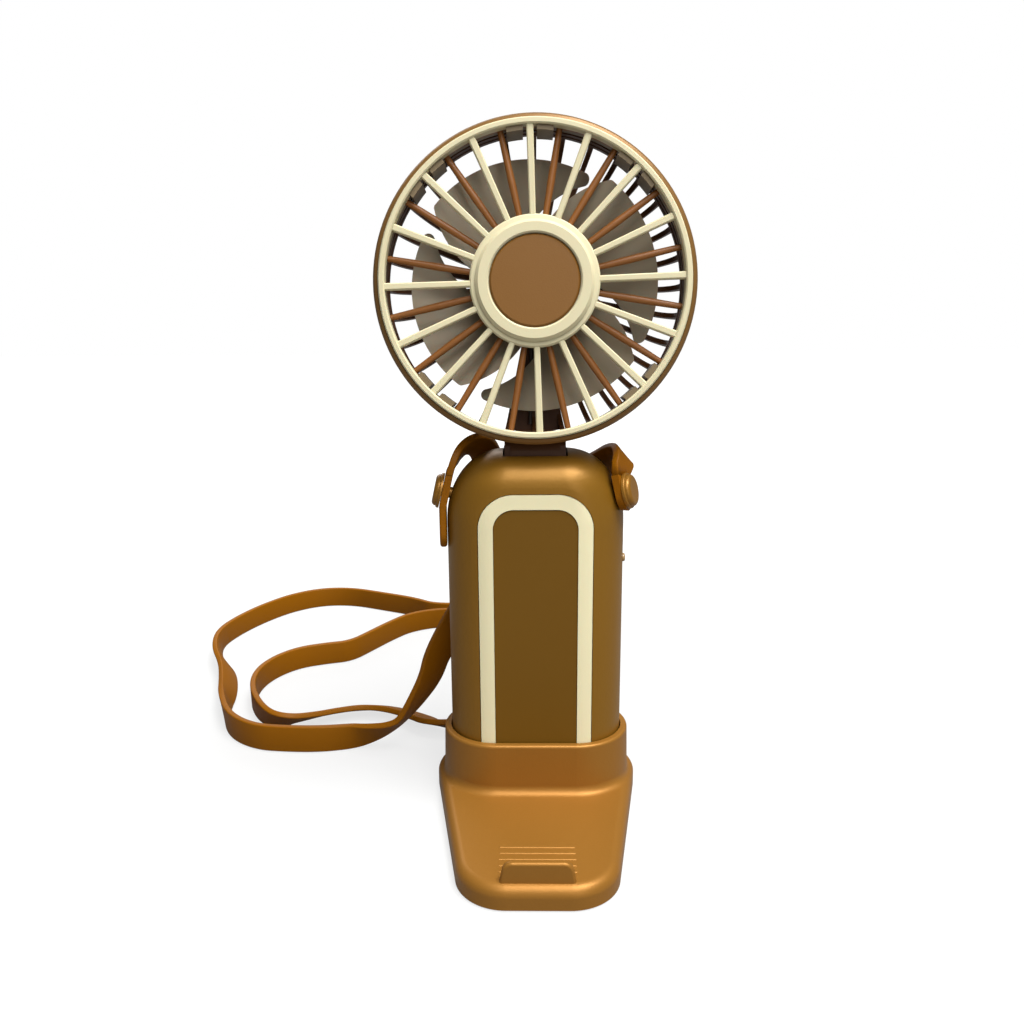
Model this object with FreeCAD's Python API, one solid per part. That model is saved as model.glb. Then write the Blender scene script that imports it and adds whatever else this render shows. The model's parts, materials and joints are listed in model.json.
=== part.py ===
import FreeCAD, Part
import math
import os

# Folding mini fan: a battery fan on a stadium-shaped handle that drops into a phone stand.
# Millimetres. X to the right, Y to the back, Z up, origin on the table below the handle's axis.

Vector = FreeCAD.Vector
X_AXIS = Vector(1, 0, 0)
Y_AXIS = Vector(0, 1, 0)
Z_AXIS = Vector(0, 0, 1)

# Handle
handle_half_width = 25.0
handle_half_depth = 13.5
handle_bottom_z = 2.6
handle_top_z = 104.2
handle_wall = 1.7
dome_side_start_z = 84.5
dome_front_start_z = 95.0
dome_flat_half_width = 9.5
dome_flat_half_depth = 2.0
end_cap_thickness = 1.8
inside_gap = 0.1

# Cream trim and front panel
trim_half_width = 15.65
trim_band = 4.05
trim_top_z = 93.8
trim_corner_radius = 9.7
trim_depth = 1.0
groove_gap = 0.2
panel_sink = 0.2

# Stand
stand_bottom_z = 0.4
stand_wall = 1.8
stand_rear_y = 18.1
stand_front_y = -57.5
stand_rear_corner_radius = 15.1
stand_rear_corner_x = 14.8
stand_front_corner_radius = 13.4
stand_side_taper_deg = 10.5
foot_rear_height = 7.4
foot_front_height = 6.4
foot_edge_radius = 2.8
collar_top_z = 21.6
collar_wall = 1.85
collar_draft = 0.5
socket_gap = 0.35
collar_fillet = 2.4
base_plate_thickness = 2.2
base_plate_gap = 0.15
lip_front_y = -55.4
lip_thickness = 1.9
lip_bottom_width = 19.2
lip_top_width = 16.8
lip_top_z = 11.8
lip_corner_radius = 2.6
lip_edge_round = 0.7
grip_line_count = 5
grip_line_pitch = 2.47
grip_line_length = 19.4
grip_line_radius = 0.4
grip_line_height = 0.25
grip_line_first_y = -41.2
rear_pad_half_width = 21.0
rear_pad_half_depth = 13.5
front_pad_half_width = 11.5
front_pad_half_depth = 4.0
front_pad_y = -47.5
pad_thickness = 1.0
pad_gap = 0.1
stand_screw_radius = 1.0
stand_screw_head_radius = 1.8
stand_screw_length = 4.6

# Hinge between the handle and the head
pin_y = 4.0
pin_z = 101.0
pin_radius = 1.25
pin_clearance = 0.05
pin_half_length = 11.6
head_lean_deg = 6.75
knuckle_half_width = 8.4
knuckle_core_half_width = 6.8
knuckle_step = 0.4
knuckle_front_y = -6.5
knuckle_rear_radius = 4.5
knuckle_bottom_drop = 2.5
washer_thickness = 0.3
washer_radius = 3.6
washer_gap = 0.1
slot_gap = 0.4
cheek_thickness = 2.0

# Head, measured from the middle of the cream ring's front face when the head stands upright
head_front_y = -14.71
neck_rise = 4.3
shell_outer_radius = 42.3
shell_wall = 1.4
shell_inner_radius = shell_outer_radius - shell_wall
head_centre_z = pin_z + neck_rise + shell_outer_radius
shell_front_y = 1.0
shell_rear_y = 10.0
shell_lip_round = 1.4
ring_gap = 0.2
ring_band = 1.67
ring_outer_radius = shell_inner_radius - ring_gap
ring_inner_radius = ring_outer_radius - ring_band
ring_depth = 3.0
ring_edge_round = 0.35
spoke_count = 16
cream_spoke_hub_width = 1.6
cream_spoke_rim_width = 1.85
cream_spoke_hub_front = 1.1
cream_spoke_rim_front = 0.5
cream_spoke_hub_rear = 2.9
cream_spoke_rim_rear = 2.4
cream_spoke_edge = 0.3
hub_flange_radius = 17.0
hub_ring_radius = 15.5
hub_bore_radius = 12.0
hub_ring_front = -0.6
hub_flange_front = 0.9
hub_rear = 3.2
hub_floor_front = 0.9
brown_ring_inner_radius = ring_inner_radius + 0.27
brown_ring_front = 3.1
brown_ring_rear = 4.8
clip_ring_thickness = 1.5
clip_offset = 3.9
clip_width = 4.2
clip_thickness = 1.3
clip_front = 1.0
clip_rear = 9.0
clip_angles_deg = (0, 45, 135, 225, 315)
grille_turn_deg = 1.7
brown_hub_rear = 5.0
brown_spoke_depth = 4.05
brown_spoke_end_radius = 0.78
brown_spoke_mid_radius = 1.0
cap_radius = 11.8
cap_front = -0.2
rib_count = 32
rib_thickness = 1.3
rib_depth = 2.4
grille_rear_y = 20.0
grille_shoulder_radius = shell_outer_radius - 8.3
grille_rim_thickness = 1.6
motor_seat_radius = 15.0
strut_top_half_width = 3.3
strut_bottom_half_width = 7.8
strut_depth = 2.6
motor_radius = 10.4
motor_front_y = 9.4
motor_rear_y = 17.6
end_bell_thickness = 1.2
shaft_radius = 1.0
shaft_front_y = 6.6
shaft_clearance = 0.05
motor_screw_radius = 0.8
motor_screw_spacing = 6.5

# Impeller
hub_cup_radius = 14.2
hub_cup_wall = 1.2
hub_cup_front = 6.2
hub_cup_rear = 15.4
blade_count = 4
blade_tip_radius = ring_inner_radius - 5.7
blade_thickness = 1.1
blade_front_y = 7.4
blade_rear_y = 15.6
blade_span_deg = 76.0
blade_trailing_deg = 86.4
blade_sweep_from_radius = 20.2
blade_trailing_sweep = 2.3
blade_leading_sweep = 1.5
blade_trailing_round = 1.6
blade_leading_round = 1.2
blade_first_turn_deg = 0.0

# Inside the handle
cell_radius = 9.15
cell_length = 65.0
cell_x = -11.6
cell_bottom_z = 10.0
board_thickness = 1.2
board_front_y = 7.2
board_low_x = 1.5
board_side_gap = 6.5
board_high_x = handle_half_width - board_side_gap
board_low_z = 22.0
board_high_z = 80.0
button_x = 5.0
button_z = 62.0
button_radius = 5.0
button_gap = 0.25
button_travel = 0.5
button_proud = 0.6
socket_z = 34.0
usb_half_length = 4.5
usb_sink = 2.6
usb_half_depth = 1.6
lens_z = 73.0
lens_radius = 1.2
lens_proud = 0.6
case_screw_radius = 1.0
case_screw_head_radius = 1.9
case_screw_length = 14.0
case_screw_sink = 1.2

# Strap and its studs
strap_width = 9.0
strap_thickness = 2.0
strap_gap = 0.15
stud_z = 92.2
stud_tilt_deg = 13.0
left_stud_turn_deg = 4.0
right_stud_turn_deg = 22.0
right_stud_lift = 0.6
stud_cap_radius = 5.0
stud_rim_thickness = 0.9
stud_rim_round = 0.4
stud_dome_inset = 0.5
stud_dome_thickness = 1.3
stud_dome_round = 1.2
stud_post_radius = 1.6
stud_post_depth = 4.0
stud_boss_wall = 1.3
left_tail_length = 15.8
right_tail_length = 5.0
strap_end_rise = 5.2
strap_end_bend_drop = 3.7
strap_tail_edge_round = 0.7


def box(low_x, high_x, low_y, high_y, low_z, high_z):
    return Part.makeBox(high_x - low_x, high_y - low_y, high_z - low_z, Vector(low_x, low_y, low_z))


def rod(radius, start, end):
    run = end.sub(start)
    return Part.makeCylinder(radius, run.Length, start, run)


def disc(radius, front_y, rear_y):
    return Part.makeCylinder(radius, rear_y - front_y, Vector(0, front_y, 0), Y_AXIS)


def ring(outer_radius, inner_radius, front_y, rear_y):
    return disc(outer_radius, front_y, rear_y).cut(disc(inner_radius, front_y - 1, rear_y + 1))


def turned(profile):
    """Solid turned about the Y axis from (radius, y) points."""
    points = [Vector(radius, y, 0) for radius, y in profile]
    face = Part.Face(Part.makePolygon(points + [points[0]]))
    return face.revolve(Vector(0, 0, 0), Y_AXIS, 360)


def spun(shape, angle_deg):
    """Copy turned clockwise about the head's axis as seen from the front."""
    copy = shape.copy()
    copy.rotate(Vector(0, 0, 0), Y_AXIS, angle_deg)
    return copy


def fused(shapes):
    return shapes[0].multiFuse(shapes[1:]).removeSplitter()


def stadium_wire(half_width, half_depth, z):
    straight = half_width - half_depth
    front_left = Vector(-straight, -half_depth, z)
    front_right = Vector(straight, -half_depth, z)
    rear_right = Vector(straight, half_depth, z)
    rear_left = Vector(-straight, half_depth, z)
    edges = [
        Part.LineSegment(front_left, front_right).toShape(),
        Part.Arc(front_right, Vector(half_width, 0, z), rear_right).toShape(),
        Part.LineSegment(rear_right, rear_left).toShape(),
        Part.Arc(rear_left, Vector(-half_width, 0, z), front_left).toShape(),
    ]
    return Part.Wire(edges)


def stadium_prism(half_width, half_depth, low_z, high_z):
    face = Part.Face(stadium_wire(half_width, half_depth, low_z))
    return face.extrude(Vector(0, 0, high_z - low_z))


def dome_size(inset, z):
    """Half width and half depth of the handle's outline, drawn in by inset, at height z."""
    top = handle_top_z - inset
    side_rise = max(0.0, z - dome_side_start_z) / (top - dome_side_start_z)
    front_rise = max(0.0, z - dome_front_start_z) / (top - dome_front_start_z)
    side_round = handle_half_width - inset - dome_flat_half_width
    front_round = handle_half_depth - inset - dome_flat_half_depth
    half_width = dome_flat_half_width + side_round * math.sqrt(max(0.0, 1 - side_rise ** 2))
    half_depth = dome_flat_half_depth + front_round * math.sqrt(max(0.0, 1 - front_rise ** 2))
    return half_width, half_depth


def handle_form(inset, low_z):
    """The handle's whole outer form, drawn in by inset, from low_z to its domed top."""
    straight_top = dome_side_start_z - 8.0
    body = stadium_prism(handle_half_width - inset, handle_half_depth - inset, low_z, straight_top)
    top = handle_top_z - inset
    heights = [straight_top, straight_top + 4, dome_side_start_z]
    heights += [dome_side_start_z + step * (dome_front_start_z - dome_side_start_z) / 3 for step in (1, 2, 3)]
    front_rise = top - dome_front_start_z
    heights += [dome_front_start_z + front_rise * math.sin(math.radians(turn)) for turn in (17, 33, 48, 62, 75, 90)]
    sections = [stadium_wire(*dome_size(inset, z), z) for z in heights]
    dome = Part.makeLoft(sections, True, False)
    return body.fuse(dome).removeSplitter()


def arch_prism(half_width, top_z, corner_radius, low_z):
    """An upside-down U outline filled in, run through the handle's front along Y."""
    front = -handle_half_depth - 2
    depth = 6.0
    low_left = Vector(-half_width, front, low_z)
    high_left = Vector(-half_width, front, top_z - corner_radius)
    top_left = Vector(-half_width + corner_radius, front, top_z)
    bend = corner_radius * (1 - math.sqrt(0.5))
    mid_left = Vector(-half_width + bend, front, top_z - bend)

    def mirrored(point):
        return Vector(-point.x, point.y, point.z)

    edges = [
        Part.LineSegment(low_left, high_left).toShape(),
        Part.Arc(high_left, mid_left, top_left).toShape(),
        Part.LineSegment(top_left, mirrored(top_left)).toShape(),
        Part.Arc(mirrored(top_left), mirrored(mid_left), mirrored(high_left)).toShape(),
        Part.LineSegment(mirrored(high_left), mirrored(low_left)).toShape(),
        Part.LineSegment(mirrored(low_left), low_left).toShape(),
    ]
    return Part.Face(Part.Wire(edges)).extrude(Vector(0, depth, 0))


def trim_recess():
    outline = arch_prism(trim_half_width + groove_gap, trim_top_z + groove_gap,
                         trim_corner_radius + groove_gap, handle_bottom_z - 1)
    return outline.cut(handle_form(trim_depth, handle_bottom_z - 2))


def front_skin(sink):
    """The outer layer of the handle's front, sink below the surface, where trim and panel lie."""
    floor = handle_form(trim_depth, handle_bottom_z - 2)
    layer = handle_form(sink, handle_bottom_z) if sink else handle_form(0, handle_bottom_z)
    return layer.cut(floor)


def front_trim():
    outer = arch_prism(trim_half_width, trim_top_z, trim_corner_radius, handle_bottom_z)
    inner = arch_prism(trim_half_width - trim_band, trim_top_z - trim_band,
                       trim_corner_radius - trim_band, handle_bottom_z - 1)
    return outer.cut(inner).common(front_skin(0))


def front_panel():
    inset = trim_band + groove_gap
    outline = arch_prism(trim_half_width - inset, trim_top_z - inset,
                         trim_corner_radius - inset, handle_bottom_z)
    return outline.common(front_skin(panel_sink))


def knuckle_profile_radius():
    front_reach = pin_y - knuckle_front_y
    return math.hypot(front_reach, knuckle_bottom_drop)


def hinge_slot():
    """Room for the head's knuckle in the dome, open above and behind."""
    half = knuckle_half_width + washer_thickness + 2 * washer_gap
    low = pin_z - knuckle_rear_radius - slot_gap - 0.3
    reach = knuckle_profile_radius() + slot_gap
    drum = rod(reach, Vector(-half, pin_y, pin_z), Vector(half, pin_y, pin_z))
    front = drum.common(box(-half, half, pin_y - reach - 1, pin_y, low, handle_top_z + 10))
    rear = box(-half, half, pin_y - 1, handle_half_depth + 5, low, handle_top_z + 10)
    return front.fuse(rear).removeSplitter()


def slot_pocket():
    """The walls that close the slot off from the inside of the handle and carry the pin."""
    half = knuckle_half_width + washer_thickness + 2 * washer_gap + cheek_thickness
    low = pin_z - knuckle_rear_radius - slot_gap - 0.3 - handle_wall
    reach = knuckle_profile_radius() + slot_gap + handle_wall
    block = box(-half, half, pin_y - reach, handle_half_depth, low, handle_top_z)
    return block.common(handle_form(0.02, handle_bottom_z))


def case_screw_places():
    return [(-16.5, 6.8), (16.5, 6.8), (-16.0, 84.0), (16.0, 84.0)]


def side_arc_x():
    """Distance of the axis of each rounded side from the handle's own axis."""
    return handle_half_width - handle_half_depth


def on_side(shape, side, turn_deg):
    """Carries a piece made for the right side forward round the side's arc, then to its own side."""
    placed = shape.copy()
    placed.rotate(Vector(side_arc_x(), 0, 0), Z_AXIS, -turn_deg)
    placed.translate(Vector(0, 0, side_lift(side)))
    return placed if side > 0 else placed.mirror(Vector(0, 0, 0), X_AXIS)


def side_lift(side):
    """How much higher a side's stud sits than the left one."""
    return right_stud_lift if side > 0 else 0.0


def stud_outward():
    tilt = math.radians(stud_tilt_deg)
    return Vector(math.cos(tilt), 0, math.sin(tilt))


def stud_rod(radius, start, end):
    """A rod along the right stud's axis, measured from the strap end's inner face."""
    seat = Vector(side_arc_x() + strap_end_reach(stud_z), 0, stud_z)
    return rod(radius, seat + stud_outward() * start, seat + stud_outward() * end)


def stud_room(side, turn_deg):
    """The blind hole in the front half into which one stud's post is pressed."""
    hole = stud_rod(stud_post_radius + inside_gap / 2, -stud_post_depth - inside_gap, stud_post_depth)
    return on_side(hole, side, turn_deg)


def stud_boss(side, turn_deg):
    boss = stud_rod(stud_post_radius + stud_boss_wall, -stud_post_depth - stud_boss_wall, stud_post_depth)
    return on_side(boss, side, turn_deg)


def stud_places():
    return [(-1, left_stud_turn_deg), (1, right_stud_turn_deg)]


def handle_halves():
    """Front and rear halves of the handle's case, parted on the plane through its axis."""
    outer = handle_form(0, handle_bottom_z)
    inner = handle_form(handle_wall, handle_bottom_z - 1)
    recess_backing = arch_prism(trim_half_width + 2, trim_top_z + 2, trim_corner_radius + 2, handle_bottom_z - 1)
    recess_backing = recess_backing.cut(handle_form(trim_depth + 0.9, handle_bottom_z - 2))
    case = outer.cut(inner).fuse(recess_backing.common(outer))
    case = case.fuse(slot_pocket())
    for x, z in case_screw_places():
        post = rod(2.6, Vector(x, -handle_half_depth, z), Vector(x, handle_half_depth, z))
        case = case.fuse(post.common(outer))
    front_room = box(-handle_half_width, handle_half_width, -handle_half_depth, 0, handle_bottom_z, handle_top_z)
    for side, turn_deg in stud_places():
        case = case.fuse(stud_boss(side, turn_deg).common(outer).common(front_room))
    case = case.cut(trim_recess())
    case = case.cut(hinge_slot())
    case = case.cut(rod(pin_radius, Vector(-pin_half_length, pin_y, pin_z), Vector(pin_half_length, pin_y, pin_z)))
    for side, turn_deg in stud_places():
        case = case.cut(stud_room(side, turn_deg))
    for x, z in case_screw_places():
        case = case.cut(case_screw(x, z, inside_gap / 2))
    case = case.cut(button_hole())
    case = case.cut(usb_room())
    case = case.cut(lens_rod(0.05))
    case = case.cut(end_cap_room())
    reach = 60
    front = case.common(box(-reach, reach, -reach, 0, -reach, 3 * reach))
    rear = case.common(box(-reach, reach, 0, reach, -reach, 3 * reach))
    return front, rear


def end_cap_room():
    inset = handle_wall / 2
    half_width = handle_half_width - inset
    half_depth = handle_half_depth - trim_depth - inset
    return stadium_prism(half_width, half_depth, handle_bottom_z - 1, handle_bottom_z + end_cap_thickness)


def handle_end_cap():
    inset = handle_wall / 2 + inside_gap
    half_width = handle_half_width - inset
    half_depth = handle_half_depth - trim_depth - inset
    return stadium_prism(half_width, half_depth, handle_bottom_z, handle_bottom_z + end_cap_thickness)


def case_screw(x, z, growth):
    """A countersunk case screw from the back, made larger by growth for its hole."""
    top = handle_rear_y(x, z) - case_screw_sink
    head = Part.makeCone(case_screw_radius + growth, case_screw_head_radius + growth, 1.6,
                         Vector(x, top - 1.6, z), Y_AXIS)
    bore_rest = rod(case_screw_head_radius + growth, Vector(x, top - 0.01, z), Vector(x, top + 4, z))
    shank = rod(case_screw_radius + growth, Vector(x, top - case_screw_length, z), Vector(x, top - 1.5, z))
    screw = shank.fuse(head)
    return screw.fuse(bore_rest) if growth else screw


def handle_rear_y(x, z):
    """Depth of the handle's back surface at a place off its flat."""
    half_width, half_depth = dome_size(0, z)
    off_flat = max(0.0, abs(x) - (half_width - half_depth))
    return math.sqrt(half_depth ** 2 - off_flat ** 2)


def case_screws():
    return Part.makeCompound([case_screw(x, z, 0) for x, z in case_screw_places()])


def button_hole():
    start = Vector(button_x, board_front_y + board_thickness + 2.0, button_z)
    return rod(button_radius + button_gap, start, Vector(button_x, handle_half_depth + 2, button_z))


def power_button():
    face_y = handle_half_depth + button_proud
    cap = rod(button_radius, Vector(button_x, handle_half_depth - 1.2, button_z), Vector(button_x, face_y, button_z))
    cap = cap.makeFillet(0.5, [edge for edge in cap.Edges if abs(edge.CenterOfMass.y - face_y) < 0.01])
    flange = rod(button_radius + 0.8, Vector(button_x, handle_half_depth - handle_wall - 0.7, button_z),
                 Vector(button_x, handle_half_depth - handle_wall - 0.05, button_z))
    core = rod(button_radius - 1, Vector(button_x, handle_half_depth - handle_wall - 0.2, button_z),
               Vector(button_x, handle_half_depth - 1.0, button_z))
    stem_end = board_front_y + board_thickness + switch_height() + button_travel
    stem = rod(1.2, Vector(button_x, stem_end, button_z), Vector(button_x, handle_half_depth - handle_wall, button_z))
    return fused([cap, flange, core, stem])


def switch_height():
    return 1.5


def button_switch():
    back = board_front_y + board_thickness
    case = box(button_x - 2.6, button_x + 2.6, back, back + 1.1, button_z - 2.6, button_z + 2.6)
    plunger = rod(1.4, Vector(button_x, back + 1.0, button_z), Vector(button_x, back + switch_height(), button_z))
    return case.fuse(plunger)


def circuit_board():
    back = board_front_y + board_thickness
    board = box(board_low_x, board_high_x, board_front_y, back, board_low_z, board_high_z)
    chips = [
        box(4, 9, board_front_y - 1.0, board_front_y, 45, 50),
        box(12, 15, board_front_y - 1.4, board_front_y, 55, 61),
        box(5, 8, board_front_y - 0.8, board_front_y, 66, 68),
        box(11, 17, board_front_y - 2.2, board_front_y, 72, 77),
    ]
    return fused([board] + chips)


def usb_prism(growth, low_x, high_x):
    """The flat oval of a small charging socket, lying along Z, facing the handle's side."""
    half_long = usb_half_length + growth
    half_short = usb_half_depth + growth
    y = usb_y()
    bar = box(low_x, high_x, y - half_short, y + half_short, socket_z - half_long + half_short,
              socket_z + half_long - half_short)
    parts = [bar]
    for side in (-1, 1):
        z = socket_z + side * (half_long - half_short)
        parts.append(rod(half_short, Vector(low_x, y, z), Vector(high_x, y, z)))
    return fused(parts)


def usb_y():
    return board_front_y - usb_half_depth - 0.02


def usb_room():
    return usb_prism(0.15, board_high_x - 4, handle_half_width + 3)


def usb_socket():
    low_x = board_high_x - 5.0
    high_x = handle_half_width - usb_sink
    body = usb_prism(0, low_x, high_x)
    hollow = usb_prism(-0.35, low_x + 1.0, high_x + 1)
    y = usb_y()
    tongue = box(low_x + 0.5, high_x - 0.6, y - 0.35, y + 0.35, socket_z - 3.3, socket_z + 3.3)
    return body.cut(hollow).fuse(tongue)


def lens_rod(growth):
    seat = handle_half_width - handle_wall - 1.0
    return rod(lens_radius + growth, Vector(seat, -1.0, lens_z), Vector(handle_half_width + lens_proud, -1.0, lens_z))


def indicator_lens():
    lens = lens_rod(0)
    tip = handle_half_width + lens_proud
    return lens.makeFillet(0.45, [edge for edge in lens.Edges if abs(edge.CenterOfMass.x - tip) < 0.01])


def battery_cell():
    top = cell_bottom_z + cell_length
    can = Part.makeCylinder(cell_radius, cell_length, Vector(cell_x, 0, cell_bottom_z))
    nub = Part.makeCylinder(2.8, 0.8, Vector(cell_x, 0, top - 0.2))
    return can.fuse(nub)


def cell_tabs():
    top = cell_bottom_z + cell_length + 0.6
    low = box(cell_x - 3, cell_x + 14, -2.5, 2.5, cell_bottom_z - 0.25, cell_bottom_z)
    high = box(cell_x - 2.5, cell_x + 14, -2.5, 2.5, top, top + 0.25)
    return Part.makeCompound([low, high])


def lead(points, radius):
    """A round wire along straight runs joined by tangent arcs."""
    edges, start = [], points[0]
    for before, corner, after in zip(points, points[1:], points[2:]):
        arc = corner_arc(before, corner, after)
        edges.append(Part.LineSegment(start, arc["first"]).toShape())
        edges.append(Part.Arc(arc["first"], arc["middle"], arc["last"]).toShape())
        start = arc["last"]
    edges.append(Part.LineSegment(start, points[-1]).toShape())
    path = Part.Wire(edges)
    first_run = points[1].sub(points[0])
    section = Part.Wire(Part.makeCircle(radius, points[0], first_run))
    return path.makePipeShell([section], True, False)


def corner_arc(before, corner, after):
    """The largest tangent arc that 0.45 of the shorter run allows at a corner."""
    run_in = corner.sub(before)
    run_out = after.sub(corner)
    inward, outward = Vector(run_in), Vector(run_out)
    inward.normalize()
    outward.normalize()
    turn = inward.getAngle(outward)
    setback = 0.45 * min(run_in.Length, run_out.Length)
    radius = setback / math.tan(turn / 2)
    first = corner - inward * setback
    last = corner + outward * setback
    bisector = outward - inward
    bisector.normalize()
    centre = corner + bisector * (radius / math.cos(turn / 2))
    middle = centre - bisector * radius
    return {"first": first, "middle": middle, "last": last, "centre": centre,
            "radius": radius, "turn": turn}


def battery_leads():
    board_y = board_front_y - 0.6
    upper = [Vector(1.2, 1.2, cell_bottom_z + cell_length + 1.6), Vector(6, 1.6, 80), Vector(9, 4.0, 83),
             Vector(12, board_y - 0.1, 79.4)]
    lower = [Vector(1.2, 1.2, cell_bottom_z - 1.2), Vector(6, 1.4, 7.4), Vector(10, 3.6, 12),
             Vector(11, board_y - 0.1, 24.0)]
    return Part.makeCompound([lead(upper, 0.55), lead(lower, 0.55)])


def hinge_pin():
    half = pin_half_length - 0.05
    return rod(pin_radius, Vector(-half, pin_y, pin_z), Vector(half, pin_y, pin_z))


def hinge_washers():
    washers = []
    for side in (-1, 1):
        inner = side * (knuckle_half_width + washer_gap)
        outer = side * (knuckle_half_width + washer_gap + washer_thickness)
        plate = rod(washer_radius, Vector(inner, pin_y, pin_z), Vector(outer, pin_y, pin_z))
        hole = rod(pin_radius + pin_clearance, Vector(side * 5, pin_y, pin_z), Vector(side * 12, pin_y, pin_z))
        washers.append(plate.cut(hole))
    return Part.makeCompound(washers)


def strap_stud(side, turn_deg):
    """One stud: a rimmed, domed cap outside the strap and the post that is pressed into the case."""
    cap_start = strap_thickness + strap_gap
    rim_end = cap_start + stud_rim_thickness
    rim = rounded_outer_end(stud_rod(stud_cap_radius, cap_start, rim_end), stud_rim_round)
    dome = stud_rod(stud_cap_radius - stud_dome_inset, cap_start + stud_rim_thickness / 2,
                    rim_end + stud_dome_thickness)
    dome = rounded_outer_end(dome, stud_dome_round)
    post = stud_rod(stud_post_radius, -stud_post_depth, cap_start + stud_rim_thickness / 2)
    return on_side(rim.fuse([dome, post]), side, turn_deg)


def rounded_outer_end(disc_shape, radius):
    """Rounds the edge of a stud disc's outer end."""
    outer = [edge for edge in disc_shape.Edges
             if edge.Closed and edge.CenterOfMass.x > disc_shape.CenterOfMass.x]
    return disc_shape.makeFillet(radius, outer)


def strap_end_reach(z):
    """Distance of the strap end's inner face from the side's axis: upright, then leaning in."""
    bend_z = stud_z - strap_end_bend_drop
    lean = math.tan(math.radians(stud_tilt_deg)) * max(0.0, z - bend_z)
    return handle_half_depth + strap_gap - lean


def strap_end(side, turn_deg, tail_length):
    """Flat end of the strap under a stud's cap: bent to the dome, with a round tail and a hole."""
    tilt = math.radians(stud_tilt_deg)
    low_z = stud_z - tail_length
    bend_z = stud_z - strap_end_bend_drop
    top_z = stud_z + strap_end_rise
    arc_x = side_arc_x()
    outer_bend_z = bend_z + strap_thickness * math.tan(tilt / 2)
    points = [
        Vector(arc_x + strap_end_reach(low_z), 0, low_z), Vector(arc_x + strap_end_reach(bend_z), 0, bend_z),
        Vector(arc_x + strap_end_reach(top_z), 0, top_z),
        Vector(arc_x + strap_end_reach(top_z) + strap_thickness * math.cos(tilt), 0,
               top_z + strap_thickness * math.sin(tilt)),
        Vector(arc_x + strap_end_reach(bend_z) + strap_thickness, 0, outer_bend_z),
        Vector(arc_x + strap_end_reach(low_z) + strap_thickness, 0, low_z),
    ]
    if bend_z <= low_z:
        points = [points[0], points[2], points[3], points[5]]
    half = strap_width / 2
    slab = Part.Face(Part.makePolygon(points + [points[0]])).extrude(Vector(0, strap_width, 0))
    slab.translate(Vector(0, -half, 0))
    reach = arc_x + handle_half_depth + 10
    tongue_low = low_z + half
    outline = box(arc_x, reach, -half, half, tongue_low, top_z + 2)
    outline = outline.fuse(rod(half, Vector(arc_x, 0, tongue_low), Vector(reach, 0, tongue_low)))
    end = slab.common(outline.removeSplitter())
    if bend_z > tongue_low:
        end = end.makeFillet(strap_tail_edge_round, flat_arcs(end, tongue_low))
    end = end.cut(stud_rod(stud_post_radius + strap_gap, -2, strap_thickness + 2))
    return on_side(end, side, turn_deg)


def flat_arcs(shape, high_z):
    """Edges that lie in an upright plane square to X and wholly below a height."""
    return [edge for edge in shape.Edges
            if edge.BoundBox.XLength < 0.001 and edge.BoundBox.YLength > 1 and edge.BoundBox.ZMax < high_z + 0.001]


def strap_joint(side, turn_deg):
    """Middle of a strap end's top face, the way its flat side faces, and the way the strap leaves."""
    tilt = math.radians(stud_tilt_deg)
    top_z = stud_z + strap_end_rise
    half = strap_thickness / 2
    reach = strap_end_reach(top_z) + half * math.cos(tilt)
    turn = math.radians(turn_deg)
    place = Vector(side * (side_arc_x() + reach * math.cos(turn)), -reach * math.sin(turn),
                   top_z + half * math.sin(tilt) + side_lift(side))
    facing = Vector(side * math.cos(turn) * math.cos(tilt), -math.sin(turn) * math.cos(tilt), math.sin(tilt))
    upward = Vector(-side * math.cos(turn) * math.sin(tilt), math.sin(turn) * math.sin(tilt), math.cos(tilt))
    return place, facing, upward


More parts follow.
